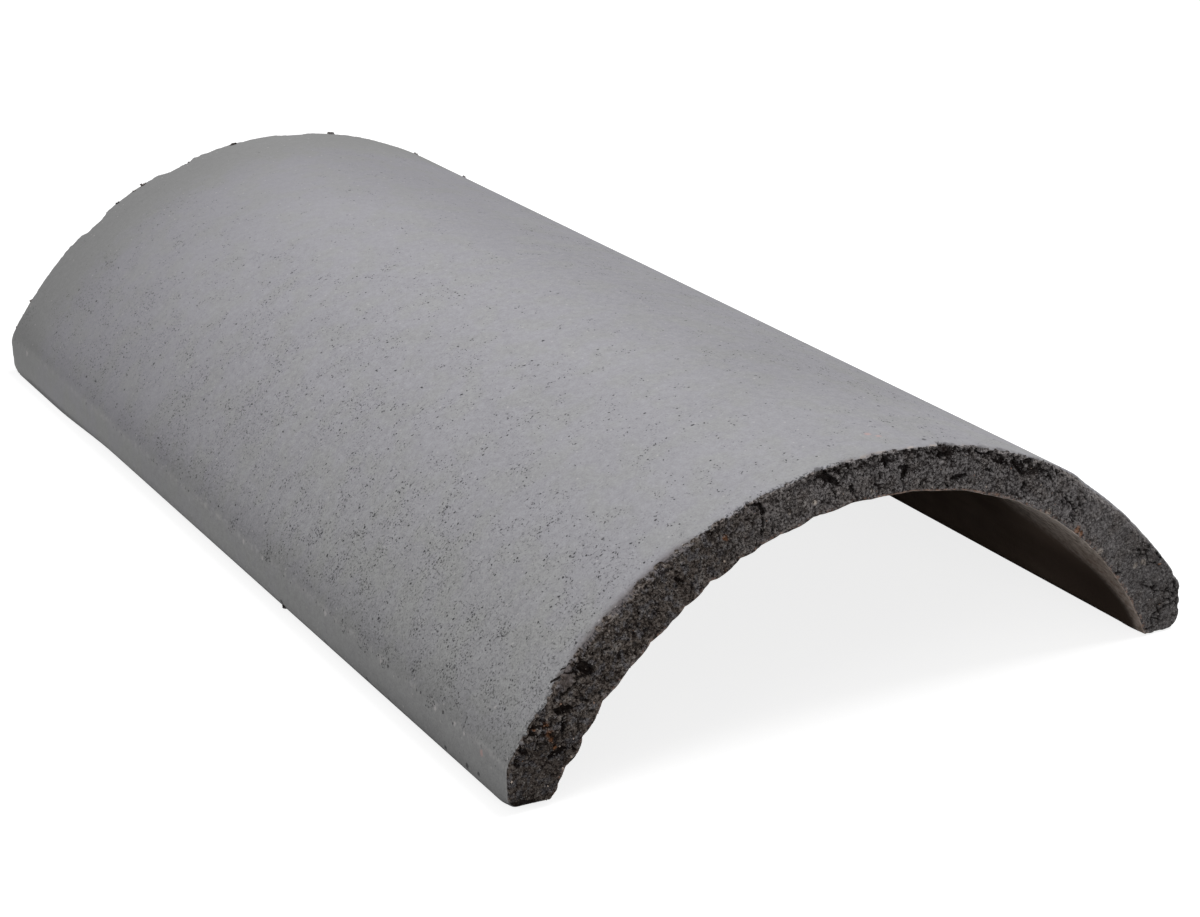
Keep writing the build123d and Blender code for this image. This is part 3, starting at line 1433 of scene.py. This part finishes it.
        # The worn fringe: the arris's own purple-brown, and painted shade where the rolled arris turns away
        # from the light.
        worn = end_gap.step(3.2 * MM + soft * 2.4 * MM, 0.0) * g.attribute("wear_along").ramp(0.7, 2.0)
        worn_fringe_and_shade = (worn * (0.35 + 0.5 * soft)).most(g.attribute("core").step(0.0, 0.45) * (0.25 + 0.65 * soft))
        colour = g.blend(worn_fringe_and_shade * (0.6 + 0.8 * sand).least(1.0), colour, self.rim)
        sunk = g.attribute("shelf") * (patchy * 0.4 + sand * 0.6).step(0.36, 0.56)
        colour = g.blend(sunk * 0.8, colour, self.shelf)
        by_end = g.drift(g.joined(arc, end_gap, 0.0), 1.2, 0.4)
        crack = torn(g, by_end, SKIN_TEARS, upright=False) * near_half / MM
        pits = (large * 0.9).most(small).most(pepper * 0.55).most(line_pits * 0.85)
        pits = pits * (1 - 0.5 * y.step(0.0, 0.8 * half) * (1 - 0.7 * open_mix))
        # Painted shade: the pinholes and the skin's cracks are darkened as the shade inside them.
        colour = g.blend(pits, colour, self.pit)
        colour = g.blend((crack * 2.4).least(0.95), colour, CutMix.dark)
        away, red, green = g.dots(flat, 6.5)
        bright = away.step(0.5 * MM * green + 0.1 * MM, 0.1 * MM) * red.step(0.5, 0.6)
        colour = g.blend(bright * 0.45, colour, self.speck)
        bent = g.drift(flat, 1.0, 0.5, flat=True)
        colour = g.blend(self._spotted(g, bent, PALE_SPOTS) * 0.55, colour, self.speck)
        colour = g.blend(self._spotted(g, bent, PINK_SPOTS) * 0.65, colour, self.pink)
        # Dark spots; those by the left bed's edge are painted shade in small nicks.
        colour = g.blend(self._spotted(g, bent, DARK_SPOTS) * 0.75, colour, self.pit)
        height = large * -0.35 - small * 0.14 - pepper * 0.10 - line_pits * 0.3
        height = height + grit * 0.05 + sand * 0.07 - crack
        return Finish(colour, 0.84 + 0.08 * grit, height * MM, gloss=0.12)

    @staticmethod
    def _spotted(g: Graph, flat: Wire, spots: tuple[Spot, ...]) -> Wire:
        """1 inside any of the spots."""
        return g.within(flat, (((spot.arc, spot.y, 0.0), spot.radius) for spot in spots), 0.5)

    @staticmethod
    def _pits(g: Graph, flat: Wire, size: PitSize, where: Wire) -> Wire:
        """Pits at the seeds of flat cells, with random radii, left out where the mask is low."""
        away, red, green = g.dots(flat, size.apart)
        here = (where - red).step(-0.02, 0.06)
        edge = (0.35 + 0.65 * green) * (size.radius * MM)
        return away.step(edge, edge * 0.45) * here * (0.45 + 0.55 * green)


@dataclass(frozen=True)
class CutMix:
    """The bared mix: charcoal sand and fine stones, browner to the left, with a few rusty and pale grains.
    Painted glints and painted shade among its grains, and in its voids and cracks, stand in for their relief.
    """

    paste: Colour = grey_of(139, 135, 135)
    brown: Colour = grey_of(106, 96, 88)
    blue: Colour = grey_of(118, 118, 124)
    # Pale grains, also laid as painted glints on grain tops.
    light: Colour = grey_of(188, 184, 182)
    shelf: Colour = grey_of(100, 92, 90)
    # Charcoal sand, also laid as painted shade in voids, cracks, pores and the gaps between grains.
    dark: Colour = grey_of(24, 17, 15)
    rust: Colour = grey_of(150, 98, 58)
    pale: Colour = grey_of(205, 194, 184)
    mortar: Colour = grey_of(196, 162, 144)

    def base(self, g: Graph, place: Wire, section: Section) -> Wire:
        """The mix's colour at a place: browner to the left, mottled, with lighter spots that are partly pale
        grains and partly painted glints on grain tops, and painted shade in the gaps between its grains.

        Args:
            g: The material's graph.
            place: Object coordinates.
            section: The casting's section.

        Returns:
            The colour.
        """
        x, _, z = g.parts(place)
        left = (x + (g.noise(place, 20, 1.0) - 0.5) * 80 * MM).ramp(10, -80)
        colour = g.blend(left * 0.85, self.paste, self.brown)
        spots = g.noise(place, 2.4, 3.0, 0.65)
        calm = x.ramp(50, 95).most(z.ramp(22, 12))
        warm = g.noise(place, 7, 3.0, 0.65).step(0.46, 0.62)
        colour = g.blend(warm * 0.35, colour, self.brown)
        colour = g.blend(g.noise(place, 2.8, 2.0, 0.6).step(0.50, 0.60) * left * 0.6, colour, self.blue)
        # Lighter spots: partly pale grains, partly painted glints on grain tops.
        colour = g.blend(spots.step(0.54, 0.74) * 0.4, colour, self.light)
        near_end = g.joined(x, 0.0, z)
        bent = g.drift(near_end, 1.6, 0.7)
        colour = g.blend(self._marked(g, bent, RUSTY, section) * 0.75, colour, self.rust)
        colour = g.blend(self._marked(g, bent, PALE, section) * 0.85, colour, self.pale)
        # Painted shade in the gaps between grains and in the pores, over the mix's own dark sand.
        gaps = g.math("ABSOLUTE", g.noise(place, 1.9, 3.0, 0.7) - 0.5).step(0.045, 0.01)
        gaps = gaps * g.noise(place, 3, 2.0, 0.6).step(0.42, 0.54)
        dark = (spots.step(0.48, 0.30) * 0.85).most(gaps * 0.8) * (1 - 0.65 * calm)
        level = 1.08 + 0.18 * z.ramp(64, 78) * x.ramp(4, -16) - 0.36 * x.ramp(76, 108)
        level = level + 0.10 * z.ramp(34, 44) * x.ramp(-74, -90)
        level = level - 0.36 * z.ramp(26, 14) * x.ramp(0, -60)
        return g.dimmed(g.blend(dark, colour, self.dark), level)

    @staticmethod
    def _marked(g: Graph, place: Wire, marks: tuple[Mark, ...], section: Section) -> Wire:
        """1 inside any of the marks."""
        return g.within(place, ((section.on_end(mark.arc, mark.below), mark.radius) for mark in marks), 0.4)

    def build(self, g: Graph, place: Wire, section: Section) -> Finish:
        """Adds the cut ends' nodes.

        Args:
            g: The material's graph.
            place: Object coordinates.
            section: The casting's section.

        Returns:
            The cut surface.
        """
        void = g.attribute("void")
        x, y, z = g.parts(place)
        # Fine relief of the grains: it shapes the bump and paints glints on grain tops and shade between
        # them.
        relief_and_painted_light = g.noise(place, 0.85, 3.0, 0.75)
        calm = x.ramp(60, 105)
        colour = g.blend(relief_and_painted_light.step(0.42, 0.30) * 0.4, self.base(g, place, section), self.light)
        colour = g.blend(relief_and_painted_light.step(0.44, 0.60) * (0.9 - 0.3 * calm), colour, self.dark)
        shelf = g.attribute("shelf") * g.noise(place, 2.2, 3.0, 0.65).step(0.36, 0.56)
        colour = g.blend(shelf * 0.7, colour, self.shelf)
        crown = x.ramp(-4, 6) * x.ramp(50, 30)
        rim = g.attribute("soffit_gap").step(0.9 * MM + 0.9 * MM * (1 - crown), 0.1 * MM)
        rim = rim * (g.noise(place, 1.4, 3.0, 0.7) + crown * 0.10).step(0.48, 0.62)
        colour = g.blend(rim * (0.5 + 0.45 * crown), colour, self.mortar)
        # Painted shade: the voids, notches, the foot's bevel and the fine cracks are darkened as the shade
        # inside them.
        by_end = g.drift(g.joined(x, 0.0, z), 1.2, 0.4)
        cracks = torn(g, by_end, CUT_CRACKS, upright=True).ramp(0, 0.35) * y.ramp(0, -10)
        colour = g.blend((void.step(0.05, 0.85) * 0.85).most(cracks * 0.9), colour, self.dark)
        return Finish(colour, 0.92 - 0.06 * relief_and_painted_light, relief_and_painted_light * -0.30 * MM, gloss=0.04)


@dataclass(frozen=True)
class MouldedSoffit:
    """The hollow's face: smooth, dark and warm, drawn along the ridge, with painted light where light falls
    in at its mouths and painted shade low down past it.
    """

    base: Colour = grey_of(138, 120, 108)
    shade: Colour = grey_of(122, 105, 94)
    # Painted shade low in the hollow, past the light that falls in at the mouth.
    deep: Colour = grey_of(72, 61, 54)
    # Painted light that falls in at the mouths.
    dust: Colour = grey_of(246, 232, 222)

    def build(self, g: Graph, place: Wire, half: float) -> Finish:
        """Adds the soffit's nodes.

        Args:
            g: The material's graph.
            place: Object coordinates.
            half: Half the casting's length.

        Returns:
            The soffit.
        """
        x, y, z = g.parts(place)
        drawn = g.joined(x, y * 0.12, z)
        streak = g.noise(drawn, 5, 3.0, 0.6)
        cloud = g.noise(place, 26, 3.0, 0.6)
        grit = g.noise(place, 0.8, 2.0, 0.7)
        mix = (streak * 0.3 + cloud * 0.7).step(0.30, 0.70)
        colour = g.blend(mix, self.base, self.shade)
        # Painted light and shade: a band lit by light that falls in at each mouth, reaching furthest in about
        # mid height and lightest towards the top, with painted shade low down past it.
        inside = half - g.math("ABSOLUTE", y)
        off_level = (z - 38 * MM) / (16 * MM)
        reach = 5.5 * MM + 40 * MM * g.math("EXPONENT", off_level * off_level * -1)
        reach = reach + (cloud - 0.5) * (4 * MM + 10 * MM * z.ramp(8, 24))
        ratio = inside / reach
        low = z.ramp(44, 12)
        fade = inside.step(26 * MM + low * low * 50 * MM, 14 * MM)
        colour = g.blend(ratio.step(0.25, 0.95) * low * fade, colour, self.deep)
        mottle = g.noise(place, 2.2, 3.0, 0.7)
        edge = ratio.step(1.05 + 0.20 * low, 0.92 - 0.50 * low)
        mouth_lit = edge * (1.0 - 0.65 * ratio.least(1.0)) * (0.3 * cloud + 0.9 * mottle.step(0.26, 0.74))
        by_level = 0.55 + 0.63 * z.ramp(28, 40) + 2.0 * z.ramp(40, 48)
        colour = g.blend((mouth_lit * by_level).least(1.0), colour, self.dust)
        colour = g.dimmed(colour, 0.86 + 0.28 * grit)
        height = (grit * 0.10 + mottle * 0.22 + streak * 0.05) * MM
        return Finish(colour, 0.74 + 0.10 * cloud, height, gloss=0.0)


@dataclass(frozen=True)
class Concrete:
    """The casting's one material, which turns from skin to soffit to bared mix by place."""

    section: Section
    half: float

    def build(self) -> bpy.types.Material:
        """Makes the material.

        Returns:
            The material.
        """
        material = bpy.data.materials.new("cast_concrete")
        g = Graph.of(material)
        place = g.wire("ShaderNodeTexCoord", None, None, "Object")
        skin = SlurrySkin().build(g, self.section, self.half)
        soffit = MouldedSoffit().build(g, place, self.half)
        cut = CutMix().build(g, place, self.section)
        inside = self._inside(g, place)
        bites = g.attribute("end_gap").step(1.0 * MM + g.attribute("roll") * 0.8, 0.0) * (1 - inside) * 0.3
        core = g.attribute("core") + bites + (g.noise(place, 0.9, 2.0, 0.6) - 0.5) * 0.9
        moulded = self._mixed(g, inside, skin.shader(g), soffit.shader(g))
        shader = self._mixed(g, core.step(0.38, 0.62), moulded, cut.shader(g))
        g.node("ShaderNodeOutputMaterial", None, {"Surface": shader})
        return material

    @staticmethod
    def _mixed(g: Graph, factor: Wire, first: Wire, second: Wire) -> Wire:
        """A mix of two shaders."""
        return g.wire("ShaderNodeMixShader", None, {0: factor, 1: first, 2: second})

    def _inside(self, g: Graph, place: Wire) -> Wire:
        """1 on the soffit and 0 on the skin, told by the distance from the soffit's axis."""
        x, _, z = g.parts(place)
        reach = g.length(g.joined(x, 0.0, z - self.section.inner_centre))
        return reach.step(self.section.inner_radius + 2.2 * MM, self.section.inner_radius + 1.2 * MM)


class Draw(Enum):
    """The seed of each random value that a stone draws."""

    ROTATION = 5
    RADIUS = 6
    SHAPE = 7
    SQUASH = 8
    TONE = 9


@dataclass
class Stones:
    """A few different broken stones of about unit size, for Geometry Nodes to pick from."""

    g: Graph
    shapes: int = 5
    side: float = 1.3
    noise_apart: float = 7.3
    noise_start: tuple[float, float] = (1.7, 0.4)
    noise_scale: float = 1.1
    breakage: float = 2.0
    smallness: float = 2.2
    flattest: tuple[float, float, float] = (0.75, 0.75, 0.6)
    fullest: tuple[float, float, float] = (1.2, 1.2, 1.0)

    def __post_init__(self) -> None:
        """Makes the stones."""
        g = self.g
        self.join = g.node("GeometryNodeGeometryToInstance")
        for number in range(self.shapes):
            ball = g.wire("GeometryNodeMeshCube", None, {"Size": (self.side, self.side, self.side)})
            start = (number * self.noise_apart, *self.noise_start)
            place = g.vector("ADD", g.wire("GeometryNodeInputPosition"), start)
            colour = g.wire("ShaderNodeTexNoise", None, {"Vector": place, "Scale": self.noise_scale}, 1)
            offset = g.scaled(g.vector("SUBTRACT", colour, (0.5, 0.5, 0.5)), self.breakage)
            broken = g.wire("GeometryNodeSetPosition", None, {"Geometry": ball, "Offset": offset})
            flat = g.wire("GeometryNodeSetShadeSmooth", None, {0: broken, "Shade Smooth": False})
            g.tree.links.new(flat.socket, self.join.inputs[0])

    def _random(self, kind: str, low: float | tuple, high: float | tuple, draw: Draw) -> Wire:
        """A random value of each stone's own.

        Args:
            kind: FLOAT_VECTOR, FLOAT or INT.
            low: Its least value.
            high: Its greatest.
            draw: Which of the stone's values it is.

        Returns:
            The value.
        """
        first = {"FLOAT_VECTOR": 0, "FLOAT": 2, "INT": 4}[kind]
        sockets = {first: low, first + 1: high, "Seed": draw.value}
        return self.g.wire("FunctionNodeRandomValue", {"data_type": kind}, sockets, first // 2)

    def spread(self, points: Wire, piece: NodePiece) -> Wire:
        """Puts a stone on each point.

        Args:
            points: The points.
            piece: The piece whose sizes give the least and the greatest radius. Few are near the latter.

        Returns:
            The stones as instances, each with a random tone.
        """
        share = self._random("FLOAT", 0.0, 1.0, Draw.RADIUS)
        smallest = piece.size("Smallest")
        radius = smallest + (piece.size("Largest") - smallest) * share**self.smallness
        squash = self._random("FLOAT_VECTOR", self.flattest, self.fullest, Draw.SQUASH)
        sockets = {
            "Points": points,
            "Instance": Wire(self.g, self.join.outputs[0]),
            "Pick Instance": True,
            "Instance Index": self._random("INT", 0, self.shapes - 1, Draw.SHAPE),
            "Rotation": self._random("FLOAT_VECTOR", (0.0, 0.0, 0.0), (math.tau,) * 3, Draw.ROTATION),
            "Scale": self.g.scaled(squash, radius),
        }
        instances = self.g.wire("GeometryNodeInstanceOnPoints", None, sockets)
        return self.g.stored(instances, "tone", self._random("FLOAT", 0.0, 1.0, Draw.TONE), "INSTANCE")


@dataclass(frozen=True)
class GritSizes(Sizes):
    """How close, how dense (to a square metre) and how large an end's grains are, and their seed."""

    spacing: float
    most_per_area: float
    smallest: float
    largest: float
    seed: float


GRIT_SIZES = {
    Side.NEAR: GritSizes(0.43 * MM, 5.2e6, smallest=0.13 * MM, largest=0.48 * MM, seed=3.0),
    Side.FAR: GritSizes(0.8 * MM, 2.6e6, smallest=0.30 * MM, largest=0.75 * MM, seed=11.0),
}


class Grit:
    """Grain that stands out of a cut end: small broken stones, half sunk into the cut."""

    def __init__(self, side: Side, material: bpy.types.Material) -> None:
        """Builds the tree for one end.

        Args:
            side: Which end.
            material: The grains' material.
        """
        self.name = side.name.lower() + "_end_grit"
        self.piece = NodePiece(self.name, GRIT_SIZES[side])
        g, size = self.piece.graph, self.piece.size
        is_near = g.attribute("is_near")
        skin_gap = g.attribute("skin_gap")
        soffit_gap = g.attribute("soffit_gap")
        place = g.wire("GeometryNodeInputPosition")
        x, _, z = g.parts(place)
        roll = g.attribute("roll")
        inner = skin_gap.step(0.3 * MM + roll * 0.5, 0.9 * MM + roll * 0.7)
        inner = inner * soffit_gap.ramp(0.4, 1.1) * z.ramp(0.8, 1.2)
        open_share = (1 - 0.95 * g.attribute("void")) * (1 - 0.85 * g.attribute("shelf"))
        sparse = (g.noise(place, 6, 1.0).step(0.52, 0.60) * 0.8).most(x.ramp(50, 95) * 0.5)
        open_share = open_share * (1 - sparse)
        loose = g.attribute("core").step(0.6, 0.95) * inner * open_share
        sockets = {
            "Mesh": self.piece.geometry(),
            "Distance Min": size("Spacing"),
            "Density Max": size("Most Per Area"),
            "Density Factor": loose * (is_near if side is Side.NEAR else 1 - is_near),
            "Seed": size("Seed"),
        }
        spread = g.wire("GeometryNodeDistributePointsOnFaces", {"distribute_method": "POISSON"}, sockets)
        self.piece.close(Stones(g).spread(spread, self.piece), material)

    def build(self, body: bpy.types.Object) -> bpy.types.Object:
        """Spreads the grains over an end of the finished casting.

        Args:
            body: The casting.

        Returns:
            The grains as one mesh object.
        """
        return self.piece.apply(placed(self.name, body.data.copy()))


@dataclass(frozen=True)
class CrumbSizes(Sizes):
    """The crumbs' radii."""

    smallest: float = 0.55 * MM
    largest: float = 1.15 * MM


@dataclass(frozen=True)
class Crumbs:
    """Crumbs of the mix that stick to the far arris, to the left bed's edge and to the right shoulder.

    The arcs, the places along Y and the depths are in millimetres. Each arc of the far arris has its number
    of crumbs, side by side.
    """

    section: Section
    half: float
    far_arcs: tuple[tuple[float, int], ...] = (
        (-142.5, 1),
        (-138.4, 2),
        (-130.0, 1),
        (-74.8, 2),
        (-66.1, 2),
        (-61.1, 3),
        (-17.9, 5),
        (27.8, 3),
        (71.0, 2),
        (98.0, 2),
    )
    low_arc: float = -100
    low_sunk: float = 0.8
    beside: float = 0.85
    far_proud: float = 0.1
    far_droop: float = 0.25
    far_inset: float = 1.4
    far_stagger: float = 0.4
    bed_inset: float = 1.1
    bed_height: float = 2.0
    bed_places: tuple[float, ...] = (-64.0, -63.1, -62.2)
    shoulder_arc: float = 77.0
    shoulder_proud: float = 0.05
    shoulder_places: tuple[float, ...] = (186.9, 186.0)

    def places(self) -> list[tuple[float, float, float]]:
        """Where the crumbs are, in metres."""
        places = []
        for arc, count in self.far_arcs:
            for copy in range(count):
                off_middle = copy - (count - 1) / 2
                sunk = self.low_sunk if arc < self.low_arc else 0.0
                below = (self.far_droop * abs(off_middle) + sunk - self.far_proud) * MM
                y = self.half - (self.far_inset + self.far_stagger * (copy % 2)) * MM
                places.append(self.section.on_end((arc + off_middle * self.beside) * MM, below, y))
        x, z = -self.section.width / 2 + self.bed_inset * MM, self.bed_height * MM
        places += [(x, y * MM, z) for y in self.bed_places]
        proud, arc = self.shoulder_proud * MM, self.shoulder_arc * MM
        return places + [self.section.on_end(arc, -proud, y * MM) for y in self.shoulder_places]

    def build(self, material: bpy.types.Material) -> bpy.types.Object:
        """Makes the crumbs as one mesh object of the given material."""
        piece = NodePiece("loose_crumbs", CrumbSizes())
        piece.close(Stones(piece.graph).spread(piece.geometry(), piece), material)
        mesh = bpy.data.meshes.new("loose_crumbs")
        mesh.from_pydata(self.places(), [], [])
        return piece.apply(placed("loose_crumbs", mesh))


class GrainMaterial:
    """The grains: as the mix about them, each with a tone of its own, a few of them pale or rusty."""

    @staticmethod
    def build(section: Section) -> bpy.types.Material:
        """Makes the material."""
        material = bpy.data.materials.new("loose_grain")
        g = Graph.of(material)
        place = g.wire("ShaderNodeTexCoord", None, None, "Object")
        tone = g.attribute("tone")
        mix = CutMix()
        speckle = g.noise(place, 0.6, 2.0, 0.7)
        x, _, _ = g.parts(place)
        lively = 1 - 0.6 * x.ramp(55, 105)
        colour = g.blend(tone.step(0.60, 1.0) * 0.30, mix.base(g, place, section), mix.light)
        colour = g.blend(tone.step(0.50, 0.0) * 0.8 * lively, colour, mix.dark)
        colour = g.blend(speckle.step(0.48, 0.68) * 0.7 * lively, colour, mix.dark)
        colour = g.blend(tone.step(0.993, 0.994) * 0.6, colour, mix.rust)
        colour = g.blend(tone.step(0.995, 0.996) * 0.7, colour, mix.pale)
        finish = Finish(colour, 0.86 + 0.1 * speckle, speckle * 0.12 * MM, gloss=0.04)
        g.node("ShaderNodeOutputMaterial", None, {"Surface": finish.shader(g)})
        return material


@dataclass(frozen=True)
class Lamp:
    """A square soft lamp."""

    name: str
    place: tuple[float, float, float]
    size: float
    level: float

    def build(self) -> None:
        """Makes the lamp. At the tile it gives its level of light, where 1 shows a colour as written."""
        target = Vector((0, 0, 0.05))
        place = Vector(self.place)
        data = bpy.data.lights.new(self.name, "AREA")
        data.shape = "SQUARE"
        data.size = self.size
        data.energy = self.level * math.pi**2 * (place - target).length_squared
        lamp = placed(self.name, data)
        lamp.location = place
        lamp.rotation_euler = (target - place).to_track_quat("-Z", "Y").to_euler()


@dataclass(frozen=True)
class Studio:
    """Floor, soft light and camera."""

    lens: float = 77.86
    sensor: float = 36.0
    camera_place: tuple[float, float, float] = (-0.4137, -0.8003, 0.3565)
    azimuth: float = 29.26
    tilt_down: float = 21.11
    roll: float = -0.84
    floor_half: float = 6.0
    sky_level: float = 0.27
    floor_bounce: float = 0.10
    floor_matte: float = 0.45
    floor_glow: float = 0.80
    lamps: tuple[Lamp, ...] = (
        Lamp(name="key", place=(0.52, -0.08, 1.35), size=0.9, level=0.75),
        Lamp(name="left_fill", place=(-2.8, -0.6, 0.95), size=1.4, level=0.28),
        Lamp(name="front_fill", place=(-0.4, -2.9, 0.75), size=1.4, level=0.22),
    )

    def build(self) -> None:
        """Makes all of it."""
        self._camera()
        self._floor()
        self._sky()
        for lamp in self.lamps:
            lamp.build()

    def _camera(self) -> None:
        """The camera at the photo's viewing angle."""
        data = bpy.data.cameras.new("camera")
        data.lens = self.lens
        data.sensor_width = self.sensor
        data.sensor_fit = "HORIZONTAL"
        data.clip_start = 0.01
        data.clip_end = 60.0
        camera = placed("camera", data)
        turn = Matrix.Rotation(math.radians(-self.azimuth), 4, "Z")
        look = Matrix.Rotation(math.radians(90 - self.tilt_down), 4, "X")
        lean = Matrix.Rotation(math.radians(self.roll), 4, "Z")
        camera.matrix_world = Matrix.Translation(Vector(self.camera_place)) @ turn @ look @ lean
        bpy.context.scene.camera = camera

    def _floor(self) -> None:
        """A plain floor, white where it is seen, that keeps the tile's shadow."""
        mesh = bpy.data.meshes.new("floor")
        half = self.floor_half
        corners = [(-half, -half, 0), (half, -half, 0), (half, half, 0), (-half, half, 0)]
        mesh.from_pydata(corners, [], [(0, 1, 2, 3)])
        floor = placed("floor", mesh)
        material = bpy.data.materials.new("floor")
        g = Graph.of(material)
        levels = (self.floor_bounce, self.floor_matte)
        greys = ((level, level, level, 1) for level in levels)
        bounce, matte = (g.wire("ShaderNodeBsdfDiffuse", None, {"Color": grey}) for grey in greys)
        glow = g.wire("ShaderNodeEmission", None, {"Color": (1, 1, 1, 1), "Strength": self.floor_glow})
        seen = g.wire("ShaderNodeAddShader", None, {0: matte, 1: glow})
        shader = g.wire("ShaderNodeMixShader", None, {0: self._seen(g), 1: bounce, 2: seen})
        g.node("ShaderNodeOutputMaterial", None, {"Surface": shader})
        mesh.materials.append(material)

    @staticmethod
    def _seen(g: Graph) -> Wire:
        """1 for a ray from the camera, a reflection or a view through glass."""
        path = g.node("ShaderNodeLightPath")
        kinds = ("Is Camera Ray", "Is Glossy Ray", "Is Transmission Ray")
        camera, glossy, through = (Wire(g, path.outputs[kind]) for kind in kinds)
        return camera.most(glossy).most(through)

    def _sky(self) -> None:
        """Even light from all sides, white where it is seen."""
        world = bpy.data.worlds.new("sky")
        g = Graph.of(world)
        level = self.sky_level + (1.0 - self.sky_level) * self._seen(g)
        sky = g.wire("ShaderNodeBackground", None, {"Color": (1, 1, 1, 1), "Strength": level})
        g.node("ShaderNodeOutputWorld", None, {"Surface": sky})
        bpy.context.scene.world = world


class RidgeTile:
    """The whole tile."""

    def __init__(self) -> None:
        """Takes the overall size from the frame."""
        low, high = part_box(NODE)
        self.section = Section(width=high.x - low.x, rise=high.z - low.z)
        self.half = (high.y - low.y) / 2

    def build(self) -> None:
        """Makes each piece, dresses it and hangs it on the frame."""
        concrete = Concrete(self.section, self.half).build()
        body = Shell(self.section, self.half).build()
        CastWear(concrete, self.section).piece.apply(body)
        grain = GrainMaterial.build(self.section)
        grits = [Grit(side, grain).build(body) for side in Side]
        crumbs = Crumbs(self.section, self.half).build(grain)
        for piece in (body, *grits, crumbs):
            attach(piece, BODY)
            piece.data.calc_loop_triangles()
            log.info("%s: %d triangles", piece.name, len(piece.data.loop_triangles))
        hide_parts(NODE)


def main() -> None:
    """Builds the tile and the studio."""
    logging.basicConfig(level=logging.INFO, format="%(name)s: %(message)s")
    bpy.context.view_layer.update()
    RidgeTile().build()
    Studio().build()
    bpy.context.scene.view_settings.view_transform = "Standard"


if __name__ == "__main__":
    main()
